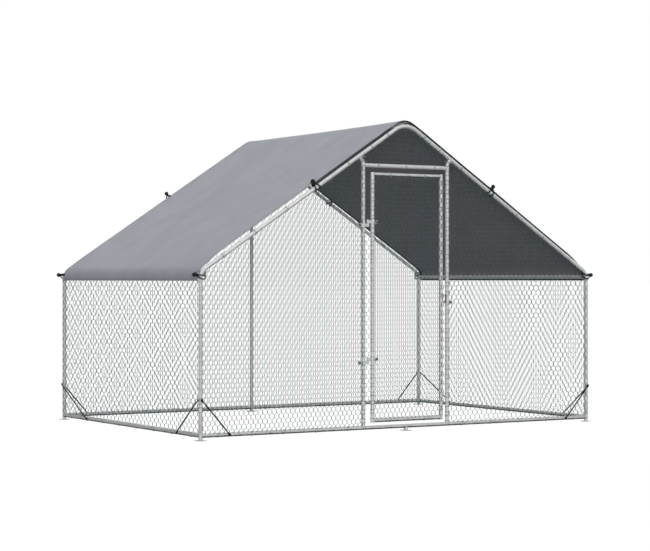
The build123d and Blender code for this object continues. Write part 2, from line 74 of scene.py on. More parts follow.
@dataclass(frozen=True)
class RunSizes:
    """Sizes that the run's pieces share, all between tube axes."""

    half_x: float = 1.4875
    half_y: float = 1.012
    rail_z: float = 0.030
    eave_z: float = 1.017
    ridge_z: float = 1.984
    bend_r: float = 0.080
    ridge_bend_r: float = 0.147
    tube_r: float = 0.0125
    branch_r: float = 0.0123
    door_post_x: float = 0.325
    stile_left: float = -0.255
    stile_right: float = 0.275
    header_z: float = 1.69652
    door_low: float = 0.074
    door_high: float = 1.63952
    hinge_z: tuple[float, float] = (1.316, 0.443)
    hinge_step: float = 0.0203
    latch_z: float = 0.823
    eave_rail_z: float = 0.988
    skirt_z: float = 0.967

    @property
    def pitch(self) -> float:
        """Slope of the rafters, in radians."""
        return math.atan2(self.ridge_z - self.eave_z, self.half_x)

    @property
    def bend_start(self) -> float:
        """Height at which a corner post's line starts to bend into its rafter."""
        return self.eave_z - self.bend_r * math.tan(math.acos(math.sin(self.pitch)) / 2)

    @property
    def ridge_axis(self) -> float:
        """Height of the ridge pole's axis."""
        return self.ridge_z - self.bend_r * (1 / math.cos(self.pitch) - 1)

    @property
    def ridge_bend_axis(self) -> float:
        """Height of the ridge elbow's axis at the top of its bend."""
        return self.ridge_z - self.ridge_bend_r * (1 / math.cos(self.pitch) - 1)

    def rafter_z(self, x: float) -> float:
        """Height of the rafters' axis at a distance from the middle plane."""
        return self.ridge_z - math.tan(self.pitch) * abs(x)

    def up_rafter(self, side: int) -> np.ndarray:
        """Direction of a rafter from its eave to the ridge."""
        return np.array([-side * math.cos(self.pitch), 0.0, math.sin(self.pitch)])

    def out_of_slope(self, side: int) -> np.ndarray:
        """Direction square out of a roof slope."""
        return np.array([side * math.sin(self.pitch), 0.0, math.cos(self.pitch)])

    def eave_x(self, height: float) -> float:
        """Distance of the bent eave tube's axis from the middle plane at a height near the eave."""
        above = max(0.0, height - self.bend_start)
        return self.half_x - self.bend_r + math.sqrt(self.bend_r**2 - above**2)


SIZES = RunSizes()


def unit(vector: Sequence[float]) -> np.ndarray:
    """A vector of length one in the same direction."""
    vector = np.asarray(vector, float)
    return vector / np.linalg.norm(vector)


def full_turn(steps: int) -> np.ndarray:
    """Angles of even steps once round."""
    return np.arange(steps) * 2 * math.pi / steps


def ease(share: np.ndarray) -> np.ndarray:
    """A share from 0 to 1 that starts and stops softly."""
    return share**2 * (3 - 2 * share)


def distances(path: np.ndarray) -> np.ndarray:
    """Length of a path from its start to each of its points."""
    return np.concatenate([[0], np.cumsum(np.linalg.norm(np.diff(path, axis=0), axis=1))])


def headings(path: np.ndarray, axis: int = 0, closed: bool = False) -> np.ndarray:
    """Directions along a path, or along many paths at once.

    Args:
        path: Points of the path or paths.
        axis: Which axis of the array runs along a path.
        closed: Whether the path runs back into its start.

    Returns:
        A direction for each point.
    """
    along = np.roll(path, -1, axis) - np.roll(path, 1, axis) if closed else np.gradient(path, axis=axis)
    return along / np.linalg.norm(along, axis=-1, keepdims=True)


def lay(points: np.ndarray, origin: Sequence[float], x: np.ndarray, y: np.ndarray,
        z: np.ndarray) -> np.ndarray:
    """Points given along three axes from an origin, in the run's frame."""
    points = np.asarray(points, float)
    return np.asarray(origin, float) + points[:, :1] * x + points[:, 1:2] * y + points[:, 2:3] * z


def arc(centre: Sequence[float], radius: float, start: float, end: float,
        steps: int) -> list[tuple[float, float]]:
    """Points of a flat arc between two angles in degrees."""
    angles = np.radians(np.linspace(start, end, steps + 1))
    return [(centre[0] + radius * math.cos(a), centre[1] + radius * math.sin(a)) for a in angles]


def bent_path(corners: Sequence[Sequence[float]], radius: float, steps: int = 12) -> np.ndarray:
    """Straight runs joined by tangent bends.

    Args:
        corners: Ends and corners of the runs, in any number of dimensions.
        radius: Radius of every bend.
        steps: Steps along each bend.

    Returns:
        Points along the whole path.
    """
    corners = [np.asarray(corner, float) for corner in corners]
    path = [corners[0]]
    for before, corner, after in zip(corners, corners[1:], corners[2:]):
        a, b = unit(before - corner), unit(after - corner)
        half = math.acos(np.clip(a @ b, -1, 1)) / 2
        middle = corner + unit(a + b) * radius / math.sin(half)
        first = corner + a * radius / math.tan(half)
        u, w = unit(first - middle), a
        sweep_angle = math.pi - 2 * half
        for step in range(steps + 1):
            turn = sweep_angle * step / steps
            path.append(middle + radius * (u * math.cos(turn) - w * math.sin(turn)))
    path.append(corners[-1])
    return np.array(path)


def spline(points: np.ndarray, steps: int = 8) -> np.ndarray:
    """Smooth line led by control points, from the first to the last.

    Args:
        points: Control points.
        steps: Steps along each stretch.

    Returns:
        Points along the line.
    """
    curve = bpy.data.curves.new("route", "CURVE")
    curve.dimensions = "3D"
    curve.resolution_u = steps
    route = curve.splines.new("NURBS")
    route.points.add(len(points) - 1)
    for control, place in zip(route.points, points):
        control.co = (*place, 1.0)
    route.order_u = 3
    route.use_endpoint_u = True
    holder = bpy.data.objects.new("route", curve)
    mesh = bpy.data.meshes.new_from_object(holder)
    line = np.array([vertex.co[:] for vertex in mesh.vertices])
    bpy.data.objects.remove(holder)
    bpy.data.curves.remove(curve)
    bpy.data.meshes.remove(mesh)
    return line


def skin(count: int, sides: int, closed: bool) -> list[tuple[int, ...]]:
    """Faces over a row of rings.

    Args:
        count: Number of rings.
        sides: Points round each.
        closed: Whether the last ring joins the first.

    Returns:
        The faces, with flat ends where the row is open.
    """
    faces = []
    for row in range(count if closed else count - 1):
        here, beyond = row * sides, (row + 1) % count * sides
        for side in range(sides):
            other = (side + 1) % sides
            faces.append((here + side, here + other, beyond + other, beyond + side))
    if not closed:
        faces.append(tuple(range(sides))[::-1])
        faces.append(tuple(range((count - 1) * sides, count * sides)))
    return faces


def sweep(path: np.ndarray, radius: float | np.ndarray, sides: int, closed: bool = False) -> Shape:
    """Round bar along a path.

    Args:
        path: Points of the bar's axis.
        radius: One radius, or one for each point.
        sides: Flats round the bar.
        closed: Whether the path runs back into its start.

    Returns:
        Points and faces, with flat ends where the path is open.
    """
    path = np.asarray(path, float)
    radius = np.broadcast_to(radius, (len(path),))
    along = headings(path, closed=closed)
    normal = np.cross(along[0], Z_AXIS if abs(along[0][2]) < 0.9 else X_AXIS)
    normals = []
    for direction in along:
        normal = unit(normal - direction * (normal @ direction))
        normals.append(normal)
    normals = np.array(normals)
    binormals = np.cross(along, normals)
    turn = full_turn(sides)[:, None]
    rings = normals[:, None] * np.cos(turn) + binormals[:, None] * np.sin(turn)
    points = (path[:, None] + rings * radius[:, None, None]).reshape(-1, 3)
    return points, skin(len(path), sides, closed)


def bars(centres: np.ndarray, first: np.ndarray, second: np.ndarray, radius: float, sides: int) -> Shape:
    """Many bars at once.

    Args:
        centres: Points of each bar's axis, bars by points by three.
        first: One direction across each bar, or across each point of it.
        second: The other direction.
        radius: Radius of the bars.
        sides: Flats round each.

    Returns:
        Points and faces.
    """
    count, steps = centres.shape[:2]
    turn = full_turn(sides)[:, None]
    first, second = (np.broadcast_to(way, centres.shape)[:, :, None] for way in (first, second))
    ring = (first * np.cos(turn) + second * np.sin(turn)) * radius
    points = (centres[:, :, None] + ring).reshape(-1, 3)
    step, side = np.meshgrid(np.arange(steps - 1), np.arange(sides), indexing="ij")
    a = (step * sides + side).ravel()
    b = (step * sides + (side + 1) % sides).ravel()
    quad = np.stack([a, b, b + sides, a + sides], 1)
    faces = (quad[None] + (np.arange(count) * steps * sides)[:, None, None]).reshape(-1, 4)
    return points, faces


def turned(profile: Sequence[tuple[float, float]], sides: int = 32, closed: bool = False) -> Shape:
    """Body of revolution about +Z.

    Args:
        profile: Radius and height of each ring, from one end to the other.
        sides: Steps round the axis.
        closed: Whether the profile runs back into its start, as a ring's does.

    Returns:
        Points and faces.
    """
    rings = np.array(profile, float)
    turn = full_turn(sides)
    points = np.stack([rings[:, :1] * np.cos(turn), rings[:, :1] * np.sin(turn),
                       np.repeat(rings[:, 1:], sides, 1)], -1).reshape(-1, 3)
    return points, skin(len(rings), sides, closed)


def plate(outline: Sequence[tuple[float, float]], thickness: float, bevel: float = 0.0004) -> Shape:
    """Flat plate on the XY plane with softened edges.

    Args:
        outline: Corners of the plate, counter-clockwise.
        thickness: Height of the plate, from z = 0 up.
        bevel: Width of the softened edges.

    Returns:
        Points and faces.
    """
    shape = bmesh.new()
    face = shape.faces.new([shape.verts.new((u, v, 0.0)) for u, v in outline])
    grown = bmesh.ops.extrude_face_region(shape, geom=[face])["geom"]
    raised = [item for item in grown if isinstance(item, bmesh.types.BMVert)]
    bmesh.ops.translate(shape, vec=(0, 0, thickness), verts=raised)
    bmesh.ops.recalc_face_normals(shape, faces=shape.faces)
    sharp = [edge for edge in shape.edges if edge.calc_face_angle(0.0) > PLATE_SHARP]
    bmesh.ops.bevel(shape, geom=sharp, offset=bevel, segments=2, profile=0.5, affect="EDGES",
                    clamp_overlap=True)
    shape.verts.index_update()
    points = np.array([v.co[:] for v in shape.verts])
    faces = [tuple(v.index for v in f.verts) for f in shape.faces]
    shape.free()
    return points, faces


class MeshPot:
    """Points and faces of one piece while it is shaped."""

    def __init__(self) -> None:
        """Start with nothing."""
        self.points: list[np.ndarray] = []
        self.faces: list[Sequence[int]] = []
        self.tints: list[int] = []
        self.total = 0

    def add(self, shape: Shape, tint: int = 0) -> None:
        """Take in a shape whose faces have one of the piece's finishes.

        Args:
            shape: Points and faces.
            tint: Which of the piece's materials the faces take.
        """
        points, faces = shape
        base = self.total
        self.points.append(np.asarray(points, float))
        if isinstance(faces, np.ndarray):
            self.faces.extend((faces + base).tolist())
        else:
            self.faces.extend([tuple(index + base for index in face) for face in faces])
        self.tints.extend([tint] * len(faces))
        self.total += len(points)

    def place(self, shape: Shape, origin: Sequence[float], x: np.ndarray, y: np.ndarray, z: np.ndarray,
              tint: int = 0) -> None:
        """Take in a shape that is drawn along three axes of its own."""
        self.add((lay(shape[0], origin, x, y, z), shape[1]), tint)

    def piece(self, name: str, body: str, slot: str, materials: Sequence[bpy.types.Material],
              stands_for: Sequence[str] = (), crease: float | None = 40.0) -> bpy.types.Object:
        """Make the object, on its body, with its finishes.

        Args:
            name: The piece's name.
            body: Body that it rides on.
            slot: The record's material slot; not used.
            materials: Finishes, in the order of the tints.
            stands_for: CAD nodes that it replaces.
            crease: Angle above which an edge stays sharp, in degrees, or None for all smooth.

        Returns:
            The object.
        """
        mesh = bpy.data.meshes.new(name)
        mesh.from_pydata(np.concatenate(self.points).tolist(), [], self.faces)
        mesh.polygons.foreach_set("material_index", np.array(self.tints, np.int32))
        mesh.polygons.foreach_set("use_smooth", np.ones(len(self.faces), bool))
        if crease is not None:
            mesh.set_sharp_from_angle(angle=math.radians(crease))
        for material in materials:
            mesh.materials.append(material)
        mesh.update()
        piece = bpy.data.objects.new(name, mesh)
        bpy.context.scene.collection.objects.link(piece)
        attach(piece, body)
        if stands_for:
            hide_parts(*stands_for)
        log.info("%s: %d faces on %s", name, len(self.faces), body)
        return piece


def pierce(piece: bpy.types.Object, punches: Shape) -> None:
    """Cut holes through a piece.

    Args:
        piece: The piece.
        punches: Closed shapes that leave the holes.
    """
    mesh = bpy.data.meshes.new("punches")
    mesh.from_pydata(np.asarray(punches[0]).tolist(), [], punches[1])
    cutter = bpy.data.objects.new("punches", mesh)
    bpy.context.scene.collection.objects.link(cutter)
    cut = piece.modifiers.new("holes", "BOOLEAN")
    cut.operation, cut.solver, cut.object = "DIFFERENCE", "EXACT", cutter
    solid = bpy.data.meshes.new_from_object(piece.evaluated_get(bpy.context.evaluated_depsgraph_get()))
    piece.modifiers.remove(cut)
    piece.data, old = solid, piece.data
    solid.name = piece.name
    bpy.data.objects.remove(cutter)
    bpy.data.meshes.remove(mesh)
    bpy.data.meshes.remove(old)
    log.info("%s: pierced", piece.name)


class NodeBoard:
    """A tree of nodes while they are laid out."""

    def __init__(self, tree: bpy.types.NodeTree) -> None:
        """Work on a tree."""
        self.nodes = tree.nodes
        self.links = tree.links

    def join(self, source: bpy.types.NodeSocket, target: bpy.types.NodeSocket) -> None:
        """Link two sockets."""
        self.links.new(source, target)

    def node(self, kind: str, inputs: dict | None = None, **settings: object) -> bpy.types.Node:
        """Add a node with its settings and inputs.

        Args:
            kind: Type of the node, without its prefix.
            inputs: Values or sockets for its inputs, by name or number.
            settings: Settings of the node.

        Returns:
            The node.
        """
        node = self.nodes.new("ShaderNode" + kind)
        for key, value in settings.items():
            setattr(node, key, value)
        for key, value in (inputs or {}).items():
            if isinstance(value, bpy.types.NodeSocket):
                self.join(value, node.inputs[key])
            else:
                node.inputs[key].default_value = value
        return node

    def math(self, operation: str, *values: object) -> bpy.types.NodeSocket:
        """Value of a sum on numbers or sockets."""
        return self.node("Math", dict(enumerate(values)), operation=operation).outputs[0]

    def span(self, value: bpy.types.NodeSocket, low: float, high: float) -> bpy.types.NodeSocket:
        """A value from 0 to 1 brought into a range."""
        return self.node("MapRange", {"Value": value, "To Min": low, "To Max": high}).outputs["Result"]


class Bench(NodeBoard):
    """One material's nodes while they are laid out."""

    def __init__(self, name: str) -> None:
        """Start from a bare shader and the piece's own coordinates."""
        self.material = bpy.data.materials.new(name)
        self.material.use_nodes = True
        super().__init__(self.material.node_tree)
        self.shader = self.nodes["Principled BSDF"]
        self.place = self.node("TexCoord").outputs["Object"]

    def noise(self, scale: float, detail: float = 3.0, distortion: float = 0.0) -> bpy.types.NodeSocket:
        """Value of a noise of some scale over the piece."""
        inputs = {"Vector": self.place, "Scale": scale, "Detail": detail, "Distortion": distortion}
        return self.node("TexNoise", inputs).outputs["Fac"]

    def mix(self, first: bpy.types.NodeSocket, one: float, second: bpy.types.NodeSocket,
            other: float) -> bpy.types.NodeSocket:
        """Sum of two values, each times its own number."""
        return self.math("ADD", self.math("MULTIPLY", first, one), self.math("MULTIPLY", second, other))

    def cells(self, scale: float, output: str) -> bpy.types.NodeSocket:
        """One output of a pattern of cells of some scale over the piece."""
        return self.node("TexVoronoi", {"Vector": self.place, "Scale": scale}).outputs[output]

    def ramp(self, value: bpy.types.NodeSocket,
             stops: Sequence[tuple[float, Colour]]) -> bpy.types.NodeSocket:
        """Colour that runs through some stops as a value goes from 0 to 1."""
        node = self.node("ValToRGB", {"Fac": value})
        line = node.color_ramp.elements
        while len(line) < len(stops):
            line.new(0.5)
        for element, (at, colour) in zip(line, stops):
            element.position = at
            element.color = (*colour, 1.0)
        return node.outputs["Color"]

    def bump(self, height: bpy.types.NodeSocket, distance: float, strength: float) -> None:
        """Raise the surface by a height value."""
        node = self.node("Bump", {"Height": height, "Distance": distance, "Strength": strength})
        self.join(node.outputs["Normal"], self.shader.inputs["Normal"])

    def colour(self, socket: bpy.types.NodeSocket) -> None:
        """Feed the surface colour."""
        self.join(socket, self.shader.inputs["Base Color"])

    def roughness(self, socket: bpy.types.NodeSocket) -> None:
        """Feed the roughness."""
        self.join(socket, self.shader.inputs["Roughness"])

    def fixed(self, **values: float) -> None:
        """Set plain numbers on the shader, with underscores for the spaces in their names."""
        for name, value in values.items():
            self.shader.inputs[name.replace("_", " ")].default_value = value


@dataclass(frozen=True)
class Finish:
    """A finish that lays out its own nodes."""

    name: str

    def lay_out(self, bench: Bench) -> None:
        """Lay out the nodes."""
        raise NotImplementedError

    def material(self) -> bpy.types.Material:
        """Make the material."""
        bench = Bench(self.name)
        self.lay_out(bench)
        return bench.material


@dataclass(frozen=True)
class ZincFinish(Finish):
    """Zinc on steel: pale crystals, a fine grain, a satin gloss and, where a colour is given, painted
    shade on the sides that face the ground.
    """

    dark: Colour
    pale: Colour
    crystal: float = 90.0
    metallic: float = 0.12
    shine: float = 0.2
    gloss: tuple[float, float] = (0.36, 0.5)
    # Colour of the painted shade on the sides that face the ground, or None for no painted shade
    under: Colour | None = None
    cloud: float = 14.0
    grain: float = 900.0
    # How fast the painted shade deepens as a side turns towards the ground
    painted_shade_fall: float = 1.2

    def lay_out(self, bench: Bench) -> None:
        """Lay out the nodes, with painted shade darkening the sides that face the ground where there is
        a colour for it.

        Args:
            bench: Where they are laid out.
        """
        tone = bench.node("RGBToBW", {"Color": bench.cells(self.crystal, "Color")}).outputs["Val"]
        cloud = bench.noise(self.cloud)
        mixed = bench.mix(tone, 0.35, cloud, 0.65)
        stops = [(0.25, self.dark), (0.75, self.pale)]
        # Painted shade: the colour runs down to the under colour as the surface faces the ground
        if self.under:
            normal = bench.node("NewGeometry").outputs["Normal"]
            facing = bench.node("SeparateXYZ", {"Vector": normal}).outputs["Z"]
            fall = bench.math("MAXIMUM", bench.math("MULTIPLY", facing, -self.painted_shade_fall), 0.0)
            mixed = bench.math("SUBTRACT", mixed, fall)
            stops.insert(0, (0.0, self.under))
        bench.colour(bench.ramp(mixed, stops))
        bench.roughness(bench.span(bench.mix(tone, 1.0, cloud, 0.5), *self.gloss))
        bench.bump(bench.math("ADD", bench.noise(self.grain, 2.0), tone), 0.00008, 0.35)
        bench.fixed(Metallic=self.metallic, Specular_IOR_Level=self.shine)


@dataclass(frozen=True)
class CoatFinish(Finish):
    """Powder coat or moulded plastic: one hue with a fine orange-peel skin and rubbed places."""

    deep: Colour
    rubbed: Colour
    gloss: tuple[float, float] = (0.35, 0.5)
    peel: float = 700.0
    shine: float = 0.2
    wear: float = 60.0
    haze: float = 120.0

    def lay_out(self, bench: Bench) -> None:
        """Lay out the nodes.

        Args:
            bench: Where they are laid out.
        """
        bench.colour(bench.ramp(bench.noise(self.wear, 6.0), ((0.45, self.deep), (0.8, self.rubbed))))
        bench.roughness(bench.span(bench.noise(self.haze), *self.gloss))
        bench.bump(bench.noise(self.peel, 2.0), 0.00006, 0.4)
        bench.fixed(Specular_IOR_Level=self.shine)


@dataclass(frozen=True)
class ClothFinish(Finish):
    """Coated cloth: a fine plain weave, faint cloudy tone and creases."""

    deep: Colour
    light: Colour
    thread: float = 0.0030
    gloss: tuple[float, float] = (0.5, 0.68)
    cloud: float = 5.0
    fleck: float = 260.0
    crease: float = 9.0

    def lay_out(self, bench: Bench) -> None:
        """Lay out the nodes.

        Args:
            bench: Where they are laid out.
        """
        axes = bench.node("SeparateXYZ", {"Vector": bench.place}).outputs
        away = bench.math("ABSOLUTE", axes["X"])
        down = bench.mix(away, math.cos(SIZES.pitch), axes["Z"], -math.sin(SIZES.pitch))
        beat = 2 * math.pi / self.thread
        warp = bench.math("SINE", bench.math("MULTIPLY", axes["Y"], beat))
        weft = bench.math("SINE", bench.math("MULTIPLY", down, beat))
        weave = bench.math("MULTIPLY", warp, weft)
        fleck = bench.noise(self.fleck)
        tone = bench.mix(bench.mix(bench.noise(self.cloud, 4.0), 0.55, fleck, 0.45), 1.0, weave, 0.06)
        bench.colour(bench.ramp(tone, ((0.25, self.deep), (0.75, self.light))))
        bench.roughness(bench.span(fleck, *self.gloss))
        bench.bump(bench.mix(weave, 0.12, bench.noise(self.crease, 5.0, 0.6), 1.0), 0.0016, 0.5)
        bench.fixed(Sheen_Weight=0.03, Specular_IOR_Level=0.08)


@dataclass(frozen=True)
class BraidFinish(Finish):
    """Elastic cord in a woven sleeve."""

    deep: Colour
    light: Colour
    check: float = 900.0
    haze: float = 300.0

    def lay_out(self, bench: Bench) -> None:
        """Lay out the nodes.

        Args:
            bench: Where they are laid out.
        """
        checks = bench.cells(self.check, "Distance")
        bench.colour(bench.ramp(checks, ((0.1, self.light), (0.6, self.deep))))
        bench.roughness(bench.span(bench.noise(self.haze), 0.55, 0.75))
        bench.bump(checks, 0.0003, 0.8)
        bench.fixed(Specular_IOR_Level=0.1)


class Finishes:
    """All the finishes of the run, made once."""

    def __init__(self) -> None:
        """Make the materials."""
        # Zinc for the bottom rails, door rails and feet: darker than the tubes' zinc, with painted shade
        # on their downward faces
        low = (0.43, 0.44, 0.445), (0.565, 0.575, 0.58)
        painted_underside_shade = (0.040, 0.042, 0.044)
        self.tube = ZincFinish("galvanised_tube", (0.50, 0.51, 0.515), (0.645, 0.655, 0.66)).material()
        self.fitting = ZincFinish("galvanised_fitting", (0.51, 0.52, 0.525), (0.66, 0.67, 0.675),
                                  crystal=140.0).material()
        self.rail = ZincFinish("galvanised_rail", *low, under=painted_underside_shade).material()
        self.foot = ZincFinish("galvanised_foot", *low, crystal=140.0, under=painted_underside_shade).material()
        self.weld = ZincFinish("zinc_weld", (0.28, 0.285, 0.29), (0.44, 0.445, 0.45),
                               crystal=400.0).material()
        self.wire = ZincFinish("netting_wire", (0.010, 0.072, 0.075), (0.020, 0.106, 0.109),
                               crystal=200.0, metallic=0.0, shine=0.1).material()
        self.tie_wire = ZincFinish("tie_wire", (0.25, 0.275, 0.28), (0.40, 0.43, 0.435),
                                   crystal=300.0, shine=0.4).material()
        self.plated = ZincFinish("plated_hardware", (0.46, 0.47, 0.475), (0.66, 0.67, 0.675),
                                 crystal=300.0).material()
        self.dark = CoatFinish("dark_hardware", (0.11, 0.111, 0.115), (0.20, 0.20, 0.205)).material()
        self.black = CoatFinish("black_strap", (0.006, 0.006, 0.0065), (0.018, 0.018, 0.019),
                                shine=0.08).material()
        self.ball = CoatFinish("black_ball", (0.005, 0.005, 0.006), (0.014, 0.014, 0.015),
                               gloss=(0.2, 0.32), shine=0.12).material()
        self.elastic = BraidFinish("black_elastic", (0.006, 0.006, 0.006), (0.03, 0.03, 0.03)).material()
        self.cloth = ClothFinish("silver_cloth", (0.290, 0.306, 0.345), (0.395, 0.415, 0.463)).material()
        self.lining = ClothFinish("cloth_underside", (0.290, 0.262, 0.292),
                                  (0.370, 0.334, 0.373)).material()
        # Black strip under the hem's edges: painted shade for the gap under the cloth's edge
        self.shade_tape = BraidFinish("painted_shade_tape", (0.010, 0.010, 0.011), (0.026, 0.026, 0.028)).material()
        self.thread = CoatFinish("hem_thread", (0.20, 0.205, 0.22), (0.30, 0.305, 0.32),
                                 gloss=(0.6, 0.8)).material()


class Hold(Enum):
    """How a net's wire ends are held along one edge."""

    TUCK = "tucked behind the tube, with a binding here and there"
    WIND = "wound round the tube"
    CORNER = "bent round the corner post"
    EAVE = "bent in under the eave rail"


@dataclass
class NetWall:
    """One flat panel of hexagonal netting, drawn across and up from a point on its tubes' axes.

    The bare places, each with its half height, carry hardware, so no wire end is wound there. The lead
    is the straight run of a wound end before it turns round its tube.
    """

    name: str
    nodes: tuple[str, ...]
    body: str
    origin: np.ndarray
    across: np.ndarray
    outward: np.ndarray
    outline: list[tuple[float, float]]
    holds: list[Hold]
    bare: list[tuple[float, float, float]] = field(default_factory=list)
    shift: tuple[float, float] = (0.0, 0.0)
    pitch: float = 0.0330
    row: float = 0.0281
    wire: float = 0.0026
    slack_wire: float = 0.0022
    lead: float = 0.0
    seat: float = 0.0002
    bare_half: float = 0.02
    calm_half: float = 0.035
    least_share: float = 0.03
    wind_rounds: float = 1.7
    corner_rounds: float = 0.25
    round_steps: int = 14
    binding_rounds: tuple[float, float] = (-0.3, 2.6)
    binding_least: float = 0.1
    binding_space: float = 0.25
    most_triangles: int = 185_000

    @property
    def depth(self) -> float:
        """Distance of the net's middle in front of its tubes' axes."""
        return SIZES.tube_r + self.seat + self.wire

    @property
    def tuck(self) -> float:
        """How far the weave stops short of the axis of a tube that it is tucked behind."""
        return SIZES.tube_r + self.wire * 0.6

    def woven(self) -> np.ndarray:
        """Corners of the woven area, drawn in from the outline along tucked and wound edges."""
        corners = np.array(self.outline)
        lines = []
        for hold, a, b in zip(self.holds, corners, np.roll(corners, -1, 0)):
            along = unit(b - a)
            back = {Hold.TUCK: self.tuck, Hold.WIND: self.lead}.get(hold, 0.0)
            lines.append((a + np.array([-along[1], along[0]]) * back, along))
        found = []
        for (p, u), (q, w) in zip([lines[-1]] + lines[:-1], lines):
            gap = q - p
            found.append(p + u * (gap[0] * w[1] - gap[1] * w[0]) / (u[0] * w[1] - u[1] * w[0]))
        return np.array(found)

    def clip(self, starts: np.ndarray, ends: np.ndarray) -> tuple:
        """Keep what lies inside the outline of some straight runs.

        Args:
            starts: First ends of the runs.
            ends: Second ends of the runs.

        Returns:
            Which runs are kept, the shares of each run at which it starts and ends, and two lots of
            places where edges cut the runs, with those edges.
        """
        count = len(starts)
        enter, leave = np.zeros(count), np.ones(count)
        cut_in, cut_out = np.full(count, -1), np.full(count, -1)
        keep = np.ones(count, bool)
        run = ends - starts
        corners = self.woven()
        for edge, (a, b) in enumerate(zip(corners, np.roll(corners, -1, 0))):
            inward = np.array([-(b - a)[1], (b - a)[0]])
            inside = (starts - a) @ inward
            slope = run @ inward
            level = np.abs(slope) < 1e-12
            keep &= ~(level & (inside < 0))
            share = -inside / np.where(level, 1.0, slope)
            later = ~level & (slope > 0) & (share > enter)
            enter[later], cut_in[later] = share[later], edge
            sooner = ~level & (slope < 0) & (share < leave)
            leave[sooner], cut_out[sooner] = share[sooner], edge
        keep &= leave - enter > self.least_share
        cuts = []
        for share, cut in ((enter, cut_in), (leave, cut_out)):
            hit = keep & (cut >= 0)
            cuts.append((starts[hit] + run[hit] * share[hit, None], cut[hit]))
        return keep, enter, leave, cuts

    def world(self, u: np.ndarray, v: np.ndarray, n: np.ndarray) -> np.ndarray:
        """Points of the wall in the run's frame."""
        u, v, n = (value[..., None] for value in np.broadcast_arrays(u, v, n))
        return self.origin + u * self.across + v * Z_AXIS + n * self.outward

    def lattice(self) -> tuple[np.ndarray, np.ndarray]:
        """Middles of the twisted sides that cover the outline.

        Returns:
            Places across and up.
        """
        low = (np.min(self.outline, 0) - self.shift) / (self.pitch, self.row)
        high = (np.max(self.outline, 0) - self.shift) / (self.pitch, self.row)
        columns, rows = (np.arange(math.floor(a) - 1, math.ceil(b) + 2) for a, b in zip(low, high))
        row, column = np.meshgrid(rows, columns, indexing="ij")
        u = self.shift[0] + (column + 0.5 * (row % 2)) * self.pitch
        v = self.shift[1] + row * self.row
        return u.ravel(), v.ravel()

    def wound(self, places: np.ndarray, along: np.ndarray, path: np.ndarray, creep: float | np.ndarray,
              sides: int) -> Shape:
        """Wires bent or wound round the tube of an edge.

        Args:
            places: Where they start, across and up.
            along: Direction of the edge.
            path: Line of each wire, out over the edge and out of the wall.
            creep: How far it moves along the edge at each point of that line.
            sides: Flats round the wire.

        Returns:
            Points and faces.
        """
        u = places[:, :1] + along[1] * path[:, 0] + along[0] * creep
        v = places[:, 1:] - along[0] * path[:, 0] + along[1] * creep
        centres = self.world(u, v, path[None, :, 1])
        lengthwise = along[0] * self.across + along[1] * Z_AXIS
        side = np.cross(headings(centres, 1), lengthwise)
        return bars(centres, lengthwise, side, self.wire / 2, sides)

    def hooks(self, ends: np.ndarray, edges: np.ndarray) -> list[Shape]:
        """Wire ends bent or wound round the tubes along the woven area's edges.

        Args:
            ends: Where wires meet the edges.
            edges: Edge that each meets.

        Returns:
            The bent ends.
        """
        shapes = []
        corners = self.woven()
        reach = self.depth
        for edge, hold in enumerate(self.holds):
            found = ends[edges == edge]
            for u, v, half in self.bare:
                near = (np.abs(found[:, 0] - u) < self.bare_half) & (np.abs(found[:, 1] - v) < half)
                found = found[~near]
            if not len(found):
                continue
            creep = 0.0
            if hold is Hold.EAVE:
                path = np.array([(0.0, reach), (0.0085, 0.0088), (0.0095, -0.0010), (0.0125, -0.0130)])
            elif hold is Hold.TUCK:
                turn = np.radians(np.linspace(90, 160, 5))
                path = np.stack([self.tuck * (1 - np.sin(turn)), self.tuck * np.cos(turn)], 1)
                path = np.concatenate([[(0.0, reach), (0.0, reach * 0.35)], path])
            else:
                rounds = self.wind_rounds if hold is Hold.WIND else self.corner_rounds
                turn = np.linspace(0, rounds * 2 * math.pi, max(4, int(rounds * self.round_steps)))
                path = np.stack([np.sin(turn), np.cos(turn)], 1) * reach
                creep = turn / (2 * math.pi) * self.wire * 1.15
                if hold is Hold.WIND and self.lead > 0:
                    path = np.concatenate([[(0.0, reach)], path + np.array([self.lead, 0.0])])
                    creep = np.concatenate([[0.0], creep])
            along = unit(corners[(edge + 1) % len(corners)] - corners[edge])
            shapes.append(self.wound(found, along, path, creep, 4))
        return shapes

    def bindings(self) -> list[Shape]:
        """Turns of tie wire that hold the tucked edges to their tubes.

        Returns:
            The bindings.
        """
        shapes = []
        corners = np.array(self.outline)
        for hold, a, b in zip(self.holds, corners, np.roll(corners, -1, 0)):
            length = float(np.linalg.norm(b - a))
            if hold is not Hold.TUCK or length < self.binding_least:
                continue
            count = max(2, round(length / self.binding_space))
            middles = a + (np.arange(count) + 0.5)[:, None] / count * (b - a)
            turn = np.linspace(*self.binding_rounds, 42) * 2 * math.pi
            ring = (SIZES.tube_r + self.wire * 0.55) * np.stack([np.sin(turn), np.cos(turn)], 1)
            creep = (turn / (2 * math.pi) - sum(self.binding_rounds) / 2) * self.wire * 1.1
            shapes.append(self.wound(middles, unit(b - a), ring, creep, 6))
        return shapes

